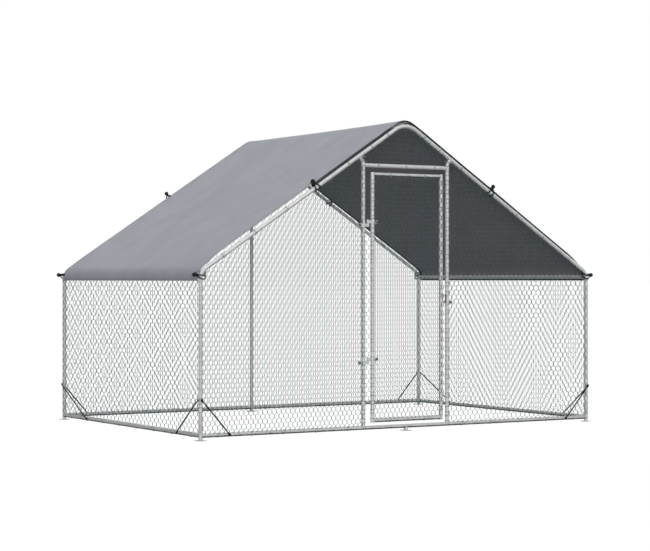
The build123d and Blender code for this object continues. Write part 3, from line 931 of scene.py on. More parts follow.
    def build(self, finishes: Finishes) -> list[bpy.types.Object]:
        """Weave the panel.

        Args:
            finishes: The run's finishes.

        Returns:
            The pieces, split so that each stays light enough to export.
        """
        u, v = self.lattice()
        side = self.row * 2 / 3
        rise = self.row - side
        half = self.wire / 2
        shapes = []
        low, high = np.stack([u, v - side / 2], 1), np.stack([u, v + side / 2], 1)
        keep, enter, leave, cuts = self.clip(low, high)
        share = enter[keep, None] + (leave - enter)[keep, None] * np.linspace(0, 1, 7)
        calm = np.zeros(len(u), bool)
        for bare_u, bare_v, reach in self.bare:
            calm |= (np.abs(u - bare_u) < self.calm_half) & (np.abs(v - bare_v) < reach + side / 2)
        turn = share * 2 * math.pi * ~calm[keep, None]
        up = v[keep, None] + (share - 0.5) * side
        for start in (0.0, math.pi):
            across = u[keep, None] + half * np.cos(turn + start)
            centres = self.world(across, up, self.depth + half * np.sin(turn + start))
            shapes.append(bars(centres, self.across, self.outward, half, 4))
        for way in (-1, 1):
            starts = np.stack([u + way * half, v + side / 2], 1)
            stops = np.stack([u + way * (self.pitch / 2 - half), v + side / 2 + rise], 1)
            keep, enter, leave, more = self.clip(starts, stops)
            cuts += more
            run = stops - starts
            first, last = starts + run * enter[:, None], starts + run * leave[:, None]
            flat = np.stack([first[keep], last[keep]], 1)
            centres = self.world(flat[..., 0], flat[..., 1], np.array(self.depth))
            lengthwise = unit(run[0])
            level = -lengthwise[1] * self.across + lengthwise[0] * Z_AXIS
            shapes.append(bars(centres, level, self.outward, self.slack_wire / 2, 4))
        ends, edges = (np.concatenate(column) for column in zip(*cuts))
        bent = self.hooks(ends, edges) + self.bindings()
        if Hold.EAVE in self.holds:
            edge = self.holds.index(Hold.EAVE)
            rim = np.array([self.outline[edge], self.outline[(edge + 1) % len(self.outline)]])
            shapes.append(sweep(self.world(*rim.T, np.array(self.depth)), half, 6))
        return self.split([(shape, 0) for shape in shapes] + [(shape, 1) for shape in bent], finishes)

    def split(self, shapes: list[tuple[Shape, int]], finishes: Finishes) -> list[bpy.types.Object]:
        """Share the wires among pieces from one end of the wall to the other.

        Args:
            shapes: All the wires, each with its finish's number.
            finishes: The run's finishes.

        Returns:
            The pieces.
        """
        triangles = sum(2 * len(faces) for (_, faces), _ in shapes)
        parts = math.ceil(triangles / self.most_triangles)
        low, high = np.min(self.outline, 0)[0], np.max(self.outline, 0)[0]
        pots = [MeshPot() for _ in range(parts)]
        for (points, faces), tint in shapes:
            if not isinstance(faces, np.ndarray):
                pots[0].add((points, faces), tint)
                continue
            middles = (points[faces].mean(1) - self.origin) @ self.across
            home = np.clip(((middles - low) / (high - low) * parts).astype(int), 0, parts - 1)
            for part, pot in enumerate(pots):
                chosen = faces[home == part]
                if len(chosen):
                    used, flat = np.unique(chosen, return_inverse=True)
                    pot.add((points[used], flat.reshape(-1, 4)), tint)
        names = [self.name] if parts == 1 else [f"{self.name}_{part + 1}" for part in range(parts)]
        dress = [finishes.wire, finishes.tie_wire]
        return [pot.piece(name, self.body, "wire_netting", dress, self.nodes, crease=None)
                for name, pot in zip(names, pots)]


@dataclass
class Netting:
    """All the netting of the run, wall by wall."""

    clamp_half: float = 0.014
    fork_half: float = 0.022
    skirt_gap: float = 0.002

    def walls(self) -> list[NetWall]:
        """Outlines and edges of the panels.

        Returns:
            The panels.
        """
        s = SIZES
        hx, hy = s.half_x, s.half_y
        low, corner, ridge = (hx, s.bend_start - 0.1), (hx, s.eave_z), (0.0, s.ridge_z)
        eave = [tuple(point) for point in bent_path([low, corner, ridge], s.bend_r, 2)[1:-1]]
        front = -hy * Y_AXIS
        walls = []
        for side, name, row in ((LEFT, "left", 0.0250), (RIGHT, "right", 0.0333)):
            top = s.skirt_z - self.skirt_gap
            outward = side * X_AXIS
            walls.append(NetWall(
                f"net_wires_{name}", (f"net_{name}",), "coop", hx * outward, side * Y_AXIS, outward,
                [(-hy, s.rail_z), (hy, s.rail_z), (hy, top), (-hy, top)],
                [Hold.TUCK, Hold.CORNER, Hold.EAVE, Hold.CORNER],
                shift=(0.004, 0.012), pitch=0.0555, row=row))
        mirror = [(-x, z) for x, z in reversed(eave)]
        crown = bent_path([corner, ridge, (-hx, s.eave_z)], s.ridge_bend_r, 2)[1:-1]
        peak = [tuple(point) for point in crown]
        walls.append(NetWall(
            "net_wires_back", ("net_back",), "coop", hy * Y_AXIS, -X_AXIS, Y_AXIS,
            [(-hx, s.rail_z), (hx, s.rail_z), *eave, *peak, *mirror],
            [Hold.TUCK, Hold.CORNER] + [Hold.TUCK] * (2 * len(eave) + len(peak) - 1) + [Hold.CORNER],
            shift=(0.02129, 0.02521), pitch=0.03994, row=0.03401))
        post, top = s.door_post_x, s.rafter_z(s.door_post_x)
        walls.append(NetWall(
            "net_wires_front_left", ("net_front_left",), "coop", front, X_AXIS, -Y_AXIS,
            [(-hx, s.rail_z), (-post, s.rail_z), (-post, top), *mirror],
            [Hold.TUCK, Hold.WIND] + [Hold.TUCK] * len(eave) + [Hold.CORNER],
            bare=[(-post, z, self.clamp_half) for z in s.hinge_z], shift=(0.006, 0.018), lead=0.005))
        walls.append(NetWall(
            "net_wires_front_right", ("net_front_right",), "coop", front, X_AXIS, -Y_AXIS,
            [(post, s.rail_z), (hx, s.rail_z), *eave, (post, top)],
            [Hold.TUCK, Hold.CORNER] + [Hold.TUCK] * len(eave) + [Hold.WIND],
            bare=[(post, s.latch_z, self.clamp_half)], shift=(0.013, 0.009), pitch=0.0375, row=0.0301))
        walls.append(NetWall(
            "net_wires_gable", ("net_front_gable",), "coop", front, X_AXIS, -Y_AXIS,
            [(-post, s.header_z), (post, s.header_z), (post, top), *peak, (-post, top)],
            [Hold.TUCK] * (4 + len(peak)), shift=(0.0, 0.010), pitch=0.0345, row=0.0288))
        walls.append(NetWall(
            "net_wires_door", ("net_door",), "door", front, X_AXIS, -Y_AXIS,
            [(s.stile_left, s.door_low), (s.stile_right, s.door_low), (s.stile_right, s.door_high),
             (s.stile_left, s.door_high)],
            [Hold.TUCK, Hold.WIND, Hold.TUCK, Hold.WIND],
            bare=[(s.stile_left, z + s.hinge_step, self.clamp_half) for z in s.hinge_z]
            + [(s.stile_right, s.latch_z, self.fork_half)], shift=(0.006, 0.02215)))
        return walls

    def build(self, finishes: Finishes) -> None:
        """Weave every panel."""
        for wall in self.walls():
            wall.build(finishes)


@dataclass
class TubeFittings:
    """Plugged corner fittings, with seams at their joints, welded branches and foot plates."""

    base_arm: float = 0.075
    middle_arm: float = 0.050
    post_arm: float = 0.115
    rafter_arm: float = 0.160
    rail_arm: float = 0.100
    ridge_arm: float = 0.110
    pole_arm: float = 0.075
    ridge_post_arm: float = 0.075
    foot_r: float = 0.0375
    foot_height: float = 0.003
    peg_r: float = 0.0045
    peg_offset: float = 0.026
    seam: float = 0.0008
    bead_r: float = 0.0016
    bead_gap: float = 0.0006
    foot_bead_r: float = 0.0017
    foot_bead_spread: float = 0.0133
    pole_lap: float = 0.009
    plug_lap: float = 0.008

    @property
    def leg(self) -> float:
        """Length of a foot's leg under the rails' axes."""
        return SIZES.rail_z - self.foot_height

    def run(self, pot: MeshPot, path: np.ndarray, radius: float,
            seams: tuple[bool, bool] = (True, True)) -> None:
        """Round run of a fitting whose ends are softened where a tube plugs on.

        Args:
            pot: Piece that takes it.
            path: Its axis.
            radius: Its radius.
            seams: Which of its ends are joints.
        """
        path = np.asarray(path, float)
        radii = np.full(len(path), radius)
        if seams[0]:
            path = np.insert(path, 1, path[0] + unit(path[1] - path[0]) * self.seam, 0)
            radii = np.insert(radii, 0, radius - self.seam)
        if seams[1]:
            path = np.insert(path, -1, path[-1] + unit(path[-2] - path[-1]) * self.seam, 0)
            radii = np.append(radii, radius - self.seam)
        pot.add(sweep(path, radii, 32))

    @staticmethod
    def weld(pot: MeshPot, turn: np.ndarray, spread: float, level: float | np.ndarray,
             thick: float | np.ndarray, centre: Sequence[float], *axes: np.ndarray) -> None:
        """Closed weld round a tube.

        Args:
            pot: Piece that takes it.
            turn: Angles of its steps round the tube.
            spread: Its distance from the tube's axis.
            level: Its height along that axis, one for all steps or one for each.
            thick: Its radius, one for all steps or one for each.
            centre: Point on the axis from which the height is measured.
            axes: Two directions across the tube, and the tube's own.
        """
        ring = [spread * np.cos(turn), spread * np.sin(turn), np.broadcast_to(level, turn.shape)]
        pot.add(sweep(lay(np.stack(ring, 1), centre, *axes), thick, 8, closed=True), 1)

    def bead(self, pot: MeshPot, centre: Sequence[float], main: np.ndarray, branch: np.ndarray) -> None:
        """Weld bead round the foot of a branch.

        Args:
            pot: Piece that takes it.
            centre: Where the two axes meet.
            main: Direction of the run that carries the branch.
            branch: Direction of the branch.
        """
        turn, radius = full_turn(72), SIZES.branch_r
        level = np.sqrt(np.maximum(SIZES.tube_r**2 - (radius * np.cos(turn))**2, 0.0)) + self.bead_gap
        thick = self.bead_r * (1 + 0.12 * np.sin(18 * turn))
        cross = np.cross(main, branch)
        self.weld(pot, turn, radius + self.bead_gap, level, thick, centre, cross, main, branch)

    def foot(self, pot: MeshPot, x: float, y: float, peg: tuple[float, float] | None = None) -> None:
        """Round foot plate with a softened rim and a weld round the leg.

        Args:
            pot: Piece that takes it.
            x: Middle of the plate.
            y: Middle of the plate.
            peg: Place of its peg hole from that middle, if it has one.
        """
        r, h, bore, sides = self.foot_r, self.foot_height, self.peg_r if peg else TIP, 48
        rim = [(bore, 0.0), (r - 0.0006, 0.0), (r, 0.0006), (r, h - 0.0009), (r - 0.0003, h - 0.0003),
               (r - 0.0009, h), (bore + 0.0006, h), (bore, h - 0.0005)]
        points, faces = turned(rim, sides, closed=True)
        rings = points.reshape(len(rim), sides, 3)
        rings[[0, 6, 7], :, :2] += peg or (0.0, 0.0)
        pot.add((points + (x, y, 0.0), faces))
        turn = full_turn(48)
        thick = self.foot_bead_r * (1 + 0.1 * np.sin(12 * turn))
        self.weld(pot, turn, self.foot_bead_spread, h + 0.0003, thick, (x, y, 0.0), *AXES)

    def base_corner(self, pot: MeshPot, side: int, end: int) -> None:
        """Three-way corner with its foot."""
        s = SIZES
        corner = np.array([side * s.half_x, end * s.half_y, s.rail_z])
        foot = corner - Z_AXIS * self.leg
        self.run(pot, [foot, corner + Z_AXIS * self.base_arm], s.tube_r, (False, True))
        for way in (-side * X_AXIS, -end * Y_AXIS):
            self.run(pot, [corner, corner + way * self.base_arm], s.branch_r, (False, True))
            self.bead(pot, corner, Z_AXIS, way)
        slant = self.peg_offset / math.sqrt(2)
        self.foot(pot, corner[0], corner[1], (-side * slant, end * slant))

    def middle_foot(self, pot: MeshPot, end: int) -> None:
        """Straight fitting between two rails, with a foot and, at the back, a post."""
        s = SIZES
        middle = np.array([0.0, end * s.half_y, s.rail_z])
        self.run(pot, [middle - X_AXIS * self.middle_arm, middle + X_AXIS * self.middle_arm], s.tube_r)
        self.run(pot, [middle, middle - Z_AXIS * self.leg], s.branch_r, (False, False))
        self.bead(pot, middle, X_AXIS, -Z_AXIS)
        self.foot(pot, 0.0, middle[1])
        if end == BACK:
            self.run(pot, [middle, middle + Z_AXIS * self.base_arm], s.branch_r, (False, True))
            self.bead(pot, middle, X_AXIS, Z_AXIS)

    def eave_elbow(self, pot: MeshPot, side: int, end: int) -> None:
        """Bent corner under the eave, with the eave rail's arm."""
        s = SIZES
        corner = np.array([side * s.half_x, end * s.half_y, s.eave_z])
        ends = corner - Z_AXIS * self.post_arm, corner + s.up_rafter(side) * self.rafter_arm
        self.run(pot, bent_path([ends[0], corner, ends[1]], s.bend_r, 16), s.tube_r)
        root = np.array([side * s.eave_x(s.eave_rail_z), end * s.half_y, s.eave_rail_z])
        self.run(pot, [root, root - Y_AXIS * end * self.rail_arm], s.branch_r, (False, True))
        lean = math.asin((s.eave_rail_z - s.bend_start) / s.bend_r)
        self.bead(pot, root, np.array([-side * math.sin(lean), 0.0, math.cos(lean)]), -end * Y_AXIS)

    def ridge_elbow(self, pot: MeshPot, end: int) -> None:
        """Bent fitting at the peak, with the ridge pole's arm and, at the back, a post's."""
        s = SIZES
        peak = np.array([0.0, end * s.half_y, s.ridge_z])
        left, right = (peak - s.up_rafter(side) * self.ridge_arm for side in (LEFT, RIGHT))
        self.run(pot, bent_path([left, peak, right], s.ridge_bend_r, 24), s.tube_r)
        root = np.array([0.0, end * s.half_y, s.ridge_axis])
        inward, r = -end * Y_AXIS, s.branch_r
        self.run(pot, [root + inward * self.pole_lap, root + inward * self.pole_arm], r)
        # Black end plug in the pole arm: a cap such as real poles carry, and also painted shade where
        # the arm's end sits in shadow under the cloth
        plug = turned([(TIP, -0.0030), (r - 0.0030, -0.0040), (r + 0.0003, -0.0040),
                       (r + 0.0001, 0.0008), (r - 0.0008, 0.0018), (TIP, 0.0020)], 40)
        pot.place(plug, root + inward * self.plug_lap, -end * X_AXIS, Z_AXIS, -inward, 2)
        bend = np.array([0.0, end * s.half_y, s.ridge_bend_axis])
        rise = root[2] - bend[2]
        turn = np.linspace(0, math.pi, 25)
        over = (r + self.bead_gap) * np.sin(turn)
        back = -end * np.sqrt(np.maximum(s.tube_r**2 - (rise + over)**2, 0.0))
        brow = np.stack([(r + self.bead_gap) * np.cos(turn), back, over], 1)
        pot.add(sweep(root + brow, self.bead_r, 8), 1)
        if end == BACK:
            foot = bend - Z_AXIS * (self.ridge_post_arm - rise)
            self.run(pot, [bend, foot], s.branch_r, (False, True))
            self.bead(pot, bend, X_AXIS, -Z_AXIS)

    def build(self, finishes: Finishes) -> None:
        """Make the fittings, node by node."""
        slot, extras = "galvanised_tube", [finishes.weld, finishes.black]
        dress, low_dress = [finishes.fitting, *extras], [finishes.foot, *extras]
        for side, name in ((LEFT, "left"), (RIGHT, "right")):
            corners, elbows = MeshPot(), MeshPot()
            for end in (FRONT, BACK):
                self.base_corner(corners, side, end)
                self.eave_elbow(elbows, side, end)
            corners.piece(f"base_fittings_{name}", "coop", slot, low_dress, [f"base_corners_{name}"])
            elbows.piece(f"eave_fittings_{name}", "coop", slot, dress, [f"eave_elbows_{name}"])
        feet, peaks = MeshPot(), MeshPot()
        for end in (FRONT, BACK):
            self.middle_foot(feet, end)
            self.ridge_elbow(peaks, end)
        feet.piece("middle_foot_fittings", "coop", slot, low_dress, ["middle_feet"])
        peaks.piece("ridge_fittings", "coop", slot, dress, ["ridge_elbows"])


@dataclass
class DoorWay:
    """Heads of the door posts, and the welds of the doorway and the door."""

    bend_z: float = 1.71352
    joint_z: float = 1.67452
    bend_r: float = 0.025
    saddle_length: float = 0.040
    saddle_wall: float = 0.0018
    saddle_half: float = 80.0
    stub_gap: float = 0.011
    stub_r: float = 0.0118
    stub_bead_spread: float = 0.0128

    def head(self, pot: MeshPot, side: int, fittings: TubeFittings) -> None:
        """Bent stub from a post up to the rafter, and its saddle.

        Args:
            pot: Piece that takes it.
            side: Which post.
            fittings: Maker of the round run.
        """
        s = SIZES
        x = side * s.door_post_x
        bend = np.array([x, -s.half_y, self.bend_z])
        square = s.out_of_slope(side)
        top = bend + square * (s.rafter_z(x) - self.bend_z) * math.cos(s.pitch)
        stub = [(x, -s.half_y, self.joint_z), bend, top - square * self.stub_gap]
        fittings.run(pot, bent_path(stub, self.bend_r), s.tube_r, (True, False))
        inner, outer = s.tube_r + 0.0001, s.tube_r + self.saddle_wall
        bow = arc((0, 0), outer, -90 - self.saddle_half, -90 + self.saddle_half, 24)
        bow += arc((0, 0), inner, -90 + self.saddle_half, -90 - self.saddle_half, 24)
        along = s.up_rafter(side)
        cross = np.cross(square, along)
        low = top - along * self.saddle_length / 2
        pot.place(plate(bow, self.saddle_length), low, cross, square, along)
        turn = full_turn(48)
        level = -np.sqrt(outer**2 - (self.stub_r * np.cos(turn))**2)
        fittings.weld(pot, turn, self.stub_bead_spread, level, fittings.bead_r, top, cross, along,
                      square)

    def build(self, finishes: Finishes, fittings: TubeFittings) -> None:
        """Make the heads and the weld beads.

        Args:
            finishes: The run's finishes.
            fittings: Maker of runs and beads.
        """
        s = SIZES
        dress = [finishes.fitting, finishes.weld]
        heads, welds, door_welds = MeshPot(), MeshPot(), MeshPot()
        for side in (LEFT, RIGHT):
            self.head(heads, side, fittings)
            fittings.bead(welds, (side * s.door_post_x, -s.half_y, s.header_z), Z_AXIS, -side * X_AXIS)
            fittings.bead(welds, (side * s.door_post_x, -s.half_y, s.rail_z), X_AXIS, Z_AXIS)
        for x, way in ((s.stile_left, X_AXIS), (s.stile_right, -X_AXIS)):
            for z in (s.door_low, s.door_high):
                fittings.bead(door_welds, (x, -s.half_y, z), Z_AXIS, way)
        heads.piece("door_post_head_fittings", "coop", "galvanised_tube", dress, ["door_post_heads"])
        welds.piece("doorway_weld_beads", "coop", "galvanised_tube", dress)
        door_welds.piece("door_weld_beads", "door", "galvanised_tube", dress)


@dataclass
class Hardware:
    """Hinges, latch and corner braces, with their bolts and screws."""

    clamp_wall: float = 0.0025
    clamp_fit: float = 0.00015
    clamp_height: float = 0.022
    ear: float = 0.022
    ear_gap: float = 0.004
    hinge_reach: float = 0.035
    web: float = 0.006
    boss_r: float = 0.00855
    pin_r: float = 0.005
    step: float = 0.020
    fork_offset: float = 0.024
    fork_width: float = 0.012
    fork_length: float = 0.052
    fork_slot: float = 0.0347
    fork_plate: float = 0.0025
    bolt_offset: float = 0.013
    bolt_r: float = 0.0040
    hexagon_r: float = 0.0075
    washer: float = 0.0013
    brace_face: float = 0.0167
    brace_plate: float = 0.003
    brace_r: float = 0.0043
    brace_rise: float = 0.214
    end_reach: float = 0.190
    front_reach: float = 0.285
    back_reach: float = 0.410

    @property
    def clamp_r(self) -> float:
        """Outside of a clamp's ring."""
        return SIZES.tube_r + self.clamp_fit + self.clamp_wall

    def clamp(self, pot: MeshPot, x: float, z: float, way: int) -> None:
        """Split clamp round an upright of the front, with a bolt through its ears.

        Args:
            pot: Piece that takes it.
            x: Place of the upright.
            z: Height of the clamp's middle.
            way: Side to which the ears point.
        """
        outer, inner = self.clamp_r, SIZES.tube_r + self.clamp_fit
        half, full = self.ear_gap / 2, self.ear_gap / 2 + self.clamp_wall
        tip = outer + self.ear
        a, b = math.degrees(math.asin(full / outer)), math.degrees(math.asin(half / inner))
        ring = arc((0, 0), outer, a, 360 - a, 40) + [(tip, -full), (tip, -half)]
        ring += arc((0, 0), inner, 360 - b, b, 40) + [(tip, half), (tip, full)]
        base = np.array([x, -SIZES.half_y, z - self.clamp_height / 2])
        pot.place(plate(ring, self.clamp_height), base, way * X_AXIS, way * Y_AXIS, Z_AXIS)
        self.bolt(pot, np.array([x + way * (outer + self.bolt_offset), -SIZES.half_y, z]), -Y_AXIS, full)

    def bolt(self, pot: MeshPot, centre: np.ndarray, axis: np.ndarray, grip: float) -> None:
        """Hexagon bolt with washers and a nut.

        Args:
            pot: Piece that takes it.
            centre: Middle of what it clamps.
            axis: Direction of its head.
            grip: Half the thickness of what it clamps.
        """
        x = unit(np.cross(axis, Z_AXIS))
        y = np.cross(axis, x)
        hexagon = arc((0, 0), self.hexagon_r, 0, 300, 5)
        washer = turned([(TIP, 0.0), (0.0080, 0.0), (0.0082, 0.0003), (0.0082, 0.0010),
                         (0.0078, self.washer), (TIP, self.washer)], 28)
        crown = turned([(0.0066, 0.0), (0.0062, 0.0004), (TIP, 0.0006)], 28)
        thread = [(TIP, 0.0)]
        for turn in range(6):
            thread += [(self.bolt_r, -0.0006 - turn * 0.0011), (0.0036, -0.00115 - turn * 0.0011)]
        thread += [(0.0034, -0.0074), (TIP, -0.0076)]
        pot.place(washer, centre + axis * grip, x, y, axis, 1)
        pot.place(plate(hexagon, 0.0050, 0.0006), centre + axis * (grip + self.washer), x, y, axis, 1)
        pot.place(crown, centre + axis * (grip + 0.0062), x, y, axis, 1)
        pot.place(washer, centre - axis * grip, x, -y, -axis, 1)
        pot.place(plate(hexagon, 0.0060, 0.0006), centre - axis * (grip + self.washer), x, -y, -axis, 1)
        pot.place(turned(thread, 20), centre - axis * (grip + 0.0060), x, y, axis, 1)
        pot.place(turned([(self.bolt_r, -grip), (self.bolt_r, grip)], 20), centre, x, y, axis, 1)

    def lever(self, pot: MeshPot, x: float, low: float, height: float, way: int) -> None:
        """Web between a clamp and its hinge's boss."""
        root, tip, half = SIZES.tube_r + 0.001, self.hinge_reach - 0.006, self.web / 2
        bar = [(root, -half), (tip, -half), (tip, half), (root, half)]
        base = (x, -SIZES.half_y, low)
        pot.place(plate(bar, height, 0.0006), base, way * X_AXIS, way * Y_AXIS, Z_AXIS)

    def hinges(self, finishes: Finishes) -> None:
        """Post halves with their pins and door halves with their eyes."""
        s = SIZES
        dress = [finishes.plated, finishes.dark]
        pins, eyes = MeshPot(), MeshPot()
        r, p, h, step = self.boss_r, self.pin_r, self.clamp_height, self.step
        for z in s.hinge_z:
            low = z - h / 2
            axis = np.array([-s.door_post_x + self.hinge_reach, -s.half_y, low])
            self.clamp(pins, -s.door_post_x, z, LEFT)
            self.lever(pins, -s.door_post_x, low, step, RIGHT)
            top = step + 0.0003 + h + 0.005
            pin = [(TIP, 0.0), (r - 0.001, 0.0), (r, 0.001), (r, step - 0.001), (r - 0.001, step),
                   (p, step), (p, top - 0.0015), (p - 0.0015, top), (TIP, top)]
            pins.place(turned(pin), axis, *AXES)
            self.clamp(eyes, s.stile_left, z + s.hinge_step, RIGHT)
            self.lever(eyes, s.stile_left, low + s.hinge_step, h, LEFT)
            eye = [(p + 0.0004, 0.0), (r - 0.001, 0.0), (r, 0.001), (r, h - 0.001), (r - 0.001, h),
                   (p + 0.0004, h)]
            eyes.place(turned(eye, closed=True), axis + Z_AXIS * s.hinge_step, *AXES)
        pins.piece("hinge_post_halves", "coop", "zinc_hardware", dress, ["hinge_pins"], 30.0)
        eyes.piece("hinge_door_halves", "door", "zinc_hardware", dress, ["hinge_eyes"], 30.0)

    def latch(self, finishes: Finishes) -> None:
        """Clamp with its lug, and the drop fork in its raised place."""
        s = SIZES
        clamp, fork = MeshPot(), MeshPot()
        flat = X_AXIS, Z_AXIS, -Y_AXIS
        self.clamp(clamp, s.door_post_x, s.latch_z, RIGHT)
        pivot = np.array([s.door_post_x - self.fork_offset, -s.half_y, s.latch_z])
        lug = arc((0, 0), 0.005, 90, 270, 12) + [(0.0115, -0.005), (0.0115, 0.005)]
        clamp.place(plate(lug, 0.006, 0.0005), pivot + Y_AXIS * 0.003, *flat)
        half, tip = self.fork_width / 2, self.fork_length
        tine = arc((0, 0), half, 180, 360, 14) + [(half, tip - 0.003)]
        tine += arc((half - 0.003, tip - 0.003), 0.003, 0, 90, 5)
        tine += arc((-half - 0.001, tip - 0.002), 0.002, 90, 180, 5)
        tine += [(-half - 0.003, tip - 0.014), (-half, tip - 0.014)]
        outer = self.fork_slot / 2 + self.fork_plate
        for back in (-self.fork_slot / 2, outer):
            fork.place(plate(tine, self.fork_plate), pivot + Y_AXIS * back, *flat)
        bridge = [(-half, 0.007), (half, 0.007), (half, 0.010), (-half, 0.010)]
        fork.place(plate(bridge, 2 * outer, 0.0005), pivot + Y_AXIS * outer, *flat)
        rivet = [(TIP, outer + 0.0018), (0.002, outer + 0.0017), (0.0038, outer + 0.0011),
                 (0.0046, outer), (0.003, outer - 0.001)]
        pin = rivet + [(r, -z) for r, z in reversed(rivet)]
        fork.place(turned(pin[::-1], 24), pivot, *flat)
        dress = [finishes.plated, finishes.dark]
        clamp.piece("latch_post_clamp", "coop", "zinc_hardware", dress, ["latch_clamp"], 30.0)
        fork.piece("latch_drop_fork", "latch", "dark_hardware", [finishes.dark], ["latch_fork"], 30.0)

    def braces(self, finishes: Finishes) -> None:
        """Rods across the foot of every corner, flattened at the ends, with a screw through each."""
        s = SIZES
        pot = MeshPot()
        thick, rod = self.brace_plate, self.brace_r
        head = turned([(0.0056, 0.0), (0.0056, 0.0006), (0.0048, 0.0018), (0.003, 0.0026),
                       (0.0022, 0.0026), (0.0018, 0.0014), (TIP, 0.0014)], 24)
        neck = [(0.014, -0.0046), (0.020, -0.0036), (0.020, 0.0036), (0.014, 0.0046)]
        eye = plate(arc((0, 0), 0.0092, 30, 330, 22) + neck, thick, 0.0006)
        even, front, back = self.end_reach, self.front_reach, self.back_reach
        walls = ((-Y_AXIS, X_AXIS, s.half_y, s.half_x, (even, even)),
                 (Y_AXIS, -X_AXIS, s.half_y, s.half_x, (even, even)),
                 (-X_AXIS, -Y_AXIS, s.half_x, s.half_y, (back, front)),
                 (X_AXIS, Y_AXIS, s.half_x, s.half_y, (front, back)))
        for normal, across, depth, half, reaches in walls:
            for side, reach in zip((LEFT, RIGHT), reaches):
                top = np.array([side * half, s.rail_z + self.brace_rise])
                foot = np.array([side * (half - reach), s.rail_z])
                run = foot - top
                length = float(np.linalg.norm(run))
                u, w = run / length, np.array([-run[1], run[0]]) / length
                x, y = u[0] * across + u[1] * Z_AXIS, w[0] * across + w[1] * Z_AXIS
                start = top[0] * across + top[1] * Z_AXIS + normal * (depth + self.brace_face)
                if np.cross(x, y) @ normal < 0:
                    y = -y
                for at, way in ((0.0, 1), (length, -1)):
                    pot.place(eye, start + x * at, way * x, way * y, normal)
                    pot.place(head, start + x * at + normal * thick, x, y, normal)
                taper = np.array([0.014, 0.018, 0.024, 0.032])
                places = np.concatenate([taper, length - taper[::-1]])
                thin = np.array([0.0014, 0.0028, 0.0037, rod])
                radii = np.concatenate([thin, thin[::-1]])
                pot.add(sweep(start + places[:, None] * x + normal * rod, radii, 14))
        dress = [finishes.black]
        pot.piece("corner_strap_braces", "coop", "black_strap", dress, ["corner_braces"], 35.0)


class Hang(Enum):
    """How a tie's elastic lies: half its strands' space, its droop in front, its rise over the rail."""

    STRADDLE = (0.0165, 0.0, 0.0)
    DROOP = (0.0120, 0.022, 0.008)


@dataclass(frozen=True)
class TiePlace:
    """Where one tie is.

    The centre is on the tube's axis. The directions go along the run to its middle, from the tube to
    the ball, and square out of the cloth. The reach is the ball's, the slack is the loop's, and the
    level is the cloth's height over the centre along the ball's direction.
    """

    centre: np.ndarray
    inward: np.ndarray
    out: np.ndarray
    square: np.ndarray
    reach: float
    slack: float
    level: float
    hang: Hang

    def eyelet(self, inset: float) -> tuple[np.ndarray, ...]:
        """Middle of the eyelet at a distance from the tube, and its three axes."""
        middle = self.centre + self.inward * inset + self.out * self.level
        return middle, self.inward, np.cross(self.square, self.inward), self.square


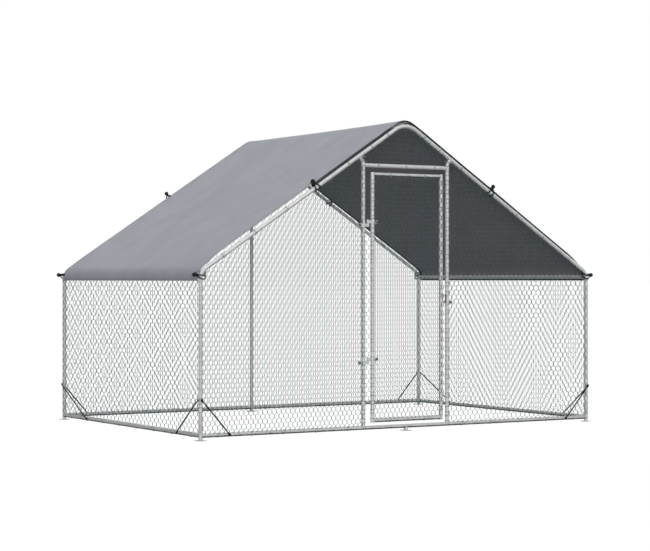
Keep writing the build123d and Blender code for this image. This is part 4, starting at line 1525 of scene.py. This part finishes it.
@dataclass
class RoofCover:
    """Cloth over both slopes, rolled over the eaves, with a sewn hem, eyelets and ball ties."""

    seat: float = 0.0003
    cloth: float = 0.0011
    setback: tuple[float, float] = (0.015, 0.007)
    scallop: float = 0.003
    stand: tuple[float, float, float] = (0.0165, 0.0022, 0.0045)
    stand_ridge: float = 0.70
    # Width of the black strip under the hem, painted shade
    shade_tape: float = 0.026
    hem: float = 0.036
    hem_rise: float = 0.0007
    spacing: float = 0.018
    climb_run: float = 0.17
    crest_run: float = 0.14
    sag: float = 0.0012
    ripple: float = 0.0006
    ripple_runs: tuple[tuple[float, float], ...] = ((9.0, 4.0), (-3.0, 11.0))
    skirt_wave: float = 0.0008
    skirt_run: float = 16.0
    skirt_fade: float = 0.05
    slope_start: float = 0.06
    slope_run: float = 1.36
    rim_share: float = 0.03
    stitch: float = 0.0062
    stitch_space: float = 0.009
    tie_x: float = 0.673
    tie_reach: float = 0.046
    eave_rise: float = 0.033
    eave_reach: float = 0.0506
    eave_fall: float = 0.005
    eave_slack: float = 0.0042
    eyelet_inset: float = 0.034
    eyelet_r: float = 0.0068
    ball_r: float = 0.014
    cord_r: float = 0.0044

    @property
    def skin(self) -> float:
        """Height of the cloth's outer face over the tubes' axes."""
        return SIZES.tube_r + self.seat + self.cloth

    def line(self, gap: float) -> np.ndarray:
        """Roof line at a distance outside the gable tubes' axes, from skirt to skirt, in even steps."""
        s = SIZES
        x = s.half_x + gap
        peak = s.ridge_z + gap / math.cos(s.pitch)
        eave = peak - math.tan(s.pitch) * x
        corners = [(-x, s.skirt_z), (-x, eave), (0, peak), (x, eave), (x, s.skirt_z)]
        path = bent_path(corners, s.bend_r + gap, 24)
        run = distances(path)
        even = np.linspace(0, run[-1], 2 * math.ceil(run[-1] / self.spacing / 2) + 1)
        return np.stack([np.interp(even, run, path[:, 0]), np.interp(even, run, path[:, 1])], 1)

    def lift(self, x: np.ndarray, share: np.ndarray) -> np.ndarray:
        """How far the stiff cloth stands off the line of the rafters.

        Args:
            x: Distances from the middle plane.
            share: Places from the front edge, 0, to the back edge, 1.

        Returns:
            The distances: most at the front edge, least in the middle, less at the ridge, none at the
            eaves.
        """
        climb = np.clip((SIZES.half_x + 0.01 - np.abs(x)) / self.climb_run, 0, 1)
        crest = np.clip(np.abs(x) / self.crest_run, 0, 1)
        crest = self.stand_ridge + (1 - self.stand_ridge) * ease(crest)
        front, back = (1 - share)**3, share**3
        height = self.stand[0] * front + self.stand[1] * (1 - front - back) + self.stand[2] * back
        return ease(climb) * crest * height

    def edge(self, line: np.ndarray) -> np.ndarray:
        """How far the cloth's gable edges stand back from the gable tubes' axes along the roof line."""
        s = SIZES
        rise = np.clip((line[:, 1] - s.eave_z) / (s.ridge_z - s.eave_z), 0, 1)
        x = np.abs(line[:, 0])
        spans = np.where(x < self.tie_x, x / self.tie_x, (x - self.tie_x) / (s.half_x - self.tie_x))
        bow = np.sin(np.clip(spans, 0, 1) * math.pi)
        return self.setback[0] + (self.setback[1] - self.setback[0]) * rise + self.scallop * (bow - 0.6)

    def grid(self, line: np.ndarray) -> tuple[np.ndarray, np.ndarray]:
        """Outer face of the cloth.

        Args:
            line: Roof line of the cloth.

        Returns:
            Points of the outer face, and the directions out of it.
        """
        s = SIZES
        along = headings(line)
        out = np.stack([-along[:, 1], np.zeros(len(line)), along[:, 0]], 1)
        rim = np.linspace(0, self.rim_share, 4)
        share = np.concatenate([rim[:-1], np.linspace(rim[-1], 1 - rim[-1], 73), 1 - rim[-2::-1]])
        back = self.edge(line)
        y = (-s.half_y + back)[:, None] * (1 - share) + (s.half_y - back)[:, None] * share
        x, z = (np.broadcast_to(value[:, None], y.shape) for value in line.T)
        points = np.stack([x, y, z], -1)
        slope = np.clip((np.abs(line[:, 0]) - self.slope_start) / self.slope_run, 0, 1)
        free = np.sin(slope * math.pi)[:, None] * np.sin(share * math.pi)[None, :]
        ripple = sum(np.sin(x * a + y * b) for a, b in self.ripple_runs)
        wave = self.lift(x, share[None, :]) - self.sag * free + self.ripple * ripple * free
        low = np.clip((s.eave_z - line[:, 1]) / self.skirt_fade, 0, 1)[:, None]
        wave = wave + low * self.skirt_wave * (1 + np.sin(y * self.skirt_run))
        return points + out[:, None] * wave[..., None], np.broadcast_to(out[:, None], points.shape)

    def sheet(self, finishes: Finishes) -> None:
        """The cloth, its hem and its stitches.

        Args:
            finishes: The run's finishes.
        """
        line = self.line(self.skin)
        outer, out = self.grid(line)
        inner = outer - out * self.cloth
        rows, columns = outer.shape[:2]
        index = np.arange(rows * columns).reshape(rows, columns)
        quads = [index[:-1, :-1], index[1:, :-1], index[1:, 1:], index[:-1, 1:]]
        top = np.stack(quads, -1).reshape(-1, 4)
        rim = np.concatenate([index[:-1, 0], index[-1, :-1], index[:0:-1, -1], index[0, :0:-1]])
        edge = np.stack([rim, np.roll(rim, -1), np.roll(rim, -1) + index.size, rim + index.size], 1)
        pot = MeshPot()
        points = np.concatenate([outer.reshape(-1, 3), inner.reshape(-1, 3)])
        pot.add((points, np.concatenate([top[:, ::-1], top + index.size, edge])), 1)
        pot.tints[:len(top)] = [0] * len(top)
        dress = [finishes.cloth, finishes.lining]
        cloth = pot.piece("roof_cloth", "coop", "silver_cloth", dress, ["roof_cover"], crease=50.0)
        hems = self.hems(outer, out, finishes)
        for piece in (cloth, hems[0]):
            pierce(piece, self.punches())

    def hems(self, outer: np.ndarray, out: np.ndarray, finishes: Finishes) -> list[bpy.types.Object]:
        """Folded hem along the four edges, black underneath as painted shade, and its stitches.

        Args:
            outer: Points of the cloth's outer face.
            out: Directions out of it.
            finishes: The run's finishes.

        Returns:
            The hem and the stitches.
        """
        band, seams = MeshPot(), MeshPot()
        edges = [(outer[:, 0], outer[:, 4], out[:, 0]),
                 (outer[::-1, -1], outer[::-1, -5], out[::-1, -1]),
                 (outer[0, ::-1], outer[1, ::-1], out[0, ::-1]), (outer[-1], outer[-2], out[-1])]
        under, over, rise = -self.cloth - 0.0007, 0.0004 - self.cloth, self.hem_rise
        profile = [(self.shade_tape, under), (-0.0006, under), (-0.0009, -0.0003), (-0.0004, rise),
                   (0.002, rise + 0.0002), (self.hem - 0.001, rise), (self.hem, 0.0),
                   (self.hem, -0.0004), (0.003, -0.0005), (0.003, over), (self.shade_tape, over)]
        for rim, inside, normal in edges:
            inward = inside - rim
            inward /= np.linalg.norm(inward, axis=1)[:, None]
            strip = np.stack([rim + inward * a + normal * b for a, b in profile], 1)
            count, width = strip.shape[:2]
            index = np.arange(count * width).reshape(count, width)
            turn = np.roll(index, -1, 1)
            faces = np.stack([index[:-1], index[1:], turn[1:], turn[:-1]], -1).reshape(-1, 4)
            band.add((strip.reshape(-1, 3), faces))
            # Tint 1, the black strip, runs under the hem: painted shade under the cloth's edge
            band.tints[-len(faces):] = [1, 1, 0, 0, 0, 0, 0, 1, 1, 1, 1] * (count - 1)
            self.stitches(seams, rim + inward * (self.hem - 0.004) + normal * (rise + 0.0001), normal)
        dress = [finishes.cloth, finishes.shade_tape]
        return [band.piece("roof_cloth_hem", "coop", "silver_cloth", dress, crease=60.0),
                seams.piece("roof_hem_stitches", "coop", "silver_cloth", [finishes.thread], crease=None)]

    def stitches(self, pot: MeshPot, path: np.ndarray, normal: np.ndarray) -> None:
        """Row of stitches along a hem.

        Args:
            pot: Piece that takes them.
            path: Line that they follow.
            normal: Directions out of the cloth along it.
        """
        run = distances(path)
        starts = np.arange(0.006, run[-1] - 0.012, self.stitch_space)
        at = starts[:, None] + np.linspace(0, self.stitch, 4)[None]
        spots = np.stack([np.interp(at, run, path[:, k]) for k in range(3)], -1)
        lift = np.stack([np.interp(at, run, normal[:, k]) for k in range(3)], -1)
        spots = spots + lift * np.array([-0.0003, 0.0004, 0.0004, -0.0003])[None, :, None]
        pot.add(bars(spots, lift, np.cross(headings(spots, 1), lift), 0.0004, 4))

    def places(self) -> list[TiePlace]:
        """Places of the ties: half-way up the rafters and at the eave corners.

        Returns:
            The places.
        """
        s = SIZES
        found = []
        height = s.bend_start + self.eave_rise
        fall = math.asin(self.eave_fall / self.eave_reach)
        lean = math.asin(self.eave_rise / s.bend_r)
        inset = self.eyelet_inset / 2 / s.half_y
        for end, share in ((FRONT, inset), (BACK, 1 - inset)):
            inward = -end * Y_AXIS
            for side in (LEFT, RIGHT):
                x = side * self.tie_x
                square = s.out_of_slope(side)
                level = self.skin + float(self.lift(np.array(x), np.array(share)))
                centre = np.array([x, end * s.half_y, s.rafter_z(x)])
                found.append(TiePlace(centre, inward, square, square, self.tie_reach, 0.0, level,
                                      Hang.STRADDLE))
                centre = np.array([side * s.eave_x(height), end * s.half_y, height])
                out = np.array([side * math.cos(fall), 0.0, -math.sin(fall)])
                square = np.array([side * math.cos(lean), 0.0, math.sin(lean)])
                level = self.skin / float(square @ out)
                found.append(TiePlace(centre, inward, out, square, self.eave_reach, self.eave_slack,
                                      level, Hang.DROOP))
        return found

    def punches(self) -> Shape:
        """Round punches for the eyelets' holes."""
        pot = MeshPot()
        r, half = self.eyelet_r, 0.012
        for place in self.places():
            punch = turned([(TIP, -half), (r, -half), (r, half), (TIP, half)], 24)
            pot.place(punch, *place.eyelet(self.eyelet_inset))
        return np.concatenate(pot.points), pot.faces

    def ties(self, finishes: Finishes) -> None:
        """Eyelets, balls and elastic loops at the eave corners and half-way up the rafters."""
        rings, balls, loops = MeshPot(), MeshPot(), MeshPot()
        for place in self.places():
            self.tie(rings, balls, loops, place)
        rings.piece("cover_eyelets", "coop", "silver_cloth", [finishes.plated], crease=50.0)
        dress = [finishes.ball, finishes.elastic]
        balls.piece("tie_ball_knobs", "coop", "black_plastic", dress, ["tie_balls"], 50.0)
        loops.piece("tie_elastic_cords", "coop", "black_elastic", [finishes.elastic], ["tie_loops"],
                    crease=None)

    def tie(self, rings: MeshPot, balls: MeshPot, loops: MeshPot, place: TiePlace) -> None:
        """One ball tie.

        Args:
            rings: Piece that takes the eyelet.
            balls: Piece that takes the ball.
            loops: Piece that takes the elastic.
            place: Where it is.
        """
        inward, out, level, b = place.inward, place.out, place.level, self.ball_r
        across = np.cross(inward, out)
        axes = inward, across, out
        r = self.eyelet_r
        grommet = [(r - 0.0008, -0.0026), (r + 0.0006, -0.0032), (r + 0.0037, -0.0018),
                   (r + 0.0040, -0.0012), (r + 0.0040, 0.0006), (r + 0.0037, 0.0012),
                   (r + 0.0008, 0.0024), (r - 0.0008, 0.0016)]
        rings.place(turned(grommet, 32, closed=True), *place.eyelet(self.eyelet_inset))
        ball = [(0.0026, -b * 0.97), (0.0040, -b * 0.955), *arc((0, 0), b, -70, 86, 25), (0.0003, b)]
        middle = place.centre + out * place.reach
        balls.place(turned(ball, 36), middle, *axes)
        seam = turned([(b, -0.0004), (b + 0.0002, 0.0), (b, 0.0004)], 36, closed=True)
        balls.place(seam, middle, *axes)
        knot = [(TIP, 0.0), (0.004, 0.0006), (0.0052, 0.0026), (0.0042, 0.0046), (TIP, 0.0052)]
        balls.place(turned(knot, 16), middle - out * (b + 0.0040), *axes, 1)
        strand, droop, rise = place.hang.value
        bow = (SIZES.tube_r + place.slack + self.cord_r + 0.0010) / 0.96
        mouth, inset = place.reach - b + 0.001, self.eyelet_inset
        route = [(-0.001, mouth + 0.001, 0.0024), (-0.009, mouth - 0.006, 0.0050)]
        route += [(*point, strand) for point in arc((0, 0), bow, 160, 298, 5)]
        route += [(inset - 0.012, level - 0.020, 0.0070), (inset, level - 0.010, 0.0028),
                  (inset + 0.0004, level + 0.006, 0.0028), (inset - 0.010, level + 0.009, 0.0030),
                  (0.008, mouth - 0.006, 0.0036), (0.001, mouth + 0.001, 0.0028)]
        route = np.array(route)
        for way in (-1, 1):
            control = lay(route, place.centre, inward, out, across * way)
            control[:, 2] -= droop * np.clip(-route[:, 0] / bow, 0, 1)
            control[8:10, 2] += rise
            loops.add(sweep(spline(control), self.cord_r, 12))

    def build(self, finishes: Finishes) -> None:
        """Make the cover and its ties."""
        self.sheet(finishes)
        self.ties(finishes)


@dataclass
class Studio:
    """Camera, floor and soft light."""

    eye: tuple[float, float, float] = (-6.7466, -11.0062, 0.9756)
    yaw: float = 31.554
    tilt: float = 0.099
    focal: float = 103.736
    sky: float = 0.16
    floor_glow: float = 0.96
    floor_bounce: float = 0.17
    floor_shade: float = 0.08
    floor_half: float = 150.0

    def camera(self) -> None:
        """Set the camera at the photograph's place."""
        data = bpy.data.cameras.new("view")
        data.sensor_fit = "HORIZONTAL"
        data.sensor_width = 36.0
        data.lens = self.focal
        data.clip_end = 400.0
        camera = bpy.data.objects.new("view", data)
        yaw, tilt = math.radians(self.yaw), math.radians(self.tilt)
        ahead = Vector((math.sin(yaw) * math.cos(tilt), math.cos(yaw) * math.cos(tilt), math.sin(tilt)))
        camera.location = self.eye
        camera.rotation_euler = ahead.to_track_quat("-Z", "Y").to_euler()
        bpy.context.scene.collection.objects.link(camera)
        bpy.context.scene.camera = camera

    @staticmethod
    def seen(board: NodeBoard) -> bpy.types.NodeSocket:
        """Value that is 1 for what the camera sees directly, in gloss or through glass."""
        path = board.node("LightPath").outputs
        total = path["Is Camera Ray"]
        for name in ("Is Glossy Ray", "Is Transmission Ray"):
            total = board.math("MAXIMUM", total, path[name])
        return total

    def world(self) -> None:
        """White backdrop over a softer sky."""
        world = bpy.data.worlds.new("studio")
        bpy.context.scene.world = world
        world.use_nodes = True
        board = NodeBoard(world.node_tree)
        ground = board.nodes["Background"]
        ground.inputs["Color"].default_value = (1.0, 1.0, 1.0, 1.0)
        board.join(board.span(self.seen(board), self.sky, 1.0), ground.inputs["Strength"])

    def floor(self) -> None:
        """Pale floor that keeps the run's shadow."""
        mesh = bpy.data.meshes.new("floor")
        half = self.floor_half
        corners = [(-half, -half, 0.0), (half, -half, 0.0), (half, half, 0.0), (-half, half, 0.0)]
        mesh.from_pydata(corners, [], [(0, 1, 2, 3)])
        floor = bpy.data.objects.new("floor", mesh)
        bpy.context.scene.collection.objects.link(floor)
        material = bpy.data.materials.new("pale_floor")
        material.use_nodes = True
        board = NodeBoard(material.node_tree)
        board.nodes.remove(board.nodes["Principled BSDF"])
        plain, faint = (board.node("BsdfDiffuse", {"Color": (grey, grey, grey, 1.0)}).outputs[0]
                        for grey in (self.floor_bounce, self.floor_shade))
        glow = board.node("Emission", {"Strength": self.floor_glow}).outputs[0]
        lit = board.node("AddShader", {0: faint, 1: glow}).outputs[0]
        choice = board.node("MixShader", {"Fac": self.seen(board), 1: plain, 2: lit}).outputs[0]
        board.join(choice, board.nodes["Material Output"].inputs["Surface"])
        mesh.materials.append(material)

    def lamp(self, name: str, toward: Sequence[float], spread: float, level: float,
             shades: bool = True) -> None:
        """Wide even light from one side.

        Args:
            name: Its name.
            toward: Direction from the run to the light.
            spread: Width of the light as an angle, in degrees.
            level: Share of a surface's own colour that it gives when it falls square on it.
            shades: Whether it casts shadows.
        """
        data = bpy.data.lights.new(name, "SUN")
        data.use_shadow = shades
        data.angle = math.radians(spread)
        data.energy = level * math.pi
        lamp = bpy.data.objects.new(name, data)
        lamp.rotation_euler = (-Vector(toward)).to_track_quat("-Z", "Y").to_euler()
        bpy.context.scene.collection.objects.link(lamp)

    def build(self) -> None:
        """Set up the whole studio."""
        scene = bpy.context.scene
        scene.view_settings.view_transform = "Standard"
        self.camera()
        self.world()
        self.floor()
        above = (-0.21, -0.578, 0.788)
        self.lamp("front", (-0.4216, -0.904, 0.07), spread=20.0, level=0.55)
        self.lamp("high", above, spread=30.0, level=0.25)
        self.lamp("soft", above, spread=30.0, level=0.30, shades=False)
        self.lamp("fill", (0.52, 0.85, 0.14), spread=60.0, level=0.45)
        log.info("studio set")


def dress_tubes(frame: dict, finishes: Finishes) -> None:
    """Give the frame's own tubes their zinc.

    Args:
        frame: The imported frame.
        finishes: The run's finishes.
    """
    for name, node in frame["nodes"].items():
        if node.hide_render:
            continue
        # Bottom and door rails take the zinc with painted shade on their undersides
        zinc = finishes.rail if name.startswith(("bottom_rail", "door_rail")) else finishes.tube
        for place in node.material_slots:
            place.material = zinc
        if not node.material_slots:
            node.data.materials.append(zinc)
        log.info("%s: galvanised tube", name)


def main() -> None:
    """Build the run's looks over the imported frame."""
    logging.basicConfig(level=logging.INFO, format="%(name)s: %(message)s")
    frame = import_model()
    finishes = Finishes()
    fittings = TubeFittings()
    Netting().build(finishes)
    fittings.build(finishes)
    DoorWay().build(finishes, fittings)
    hardware = Hardware()
    hardware.hinges(finishes)
    hardware.latch(finishes)
    hardware.braces(finishes)
    RoofCover().build(finishes)
    dress_tubes(frame, finishes)
    Studio().build()
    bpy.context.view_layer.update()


if __name__ == "__main__":
    main()
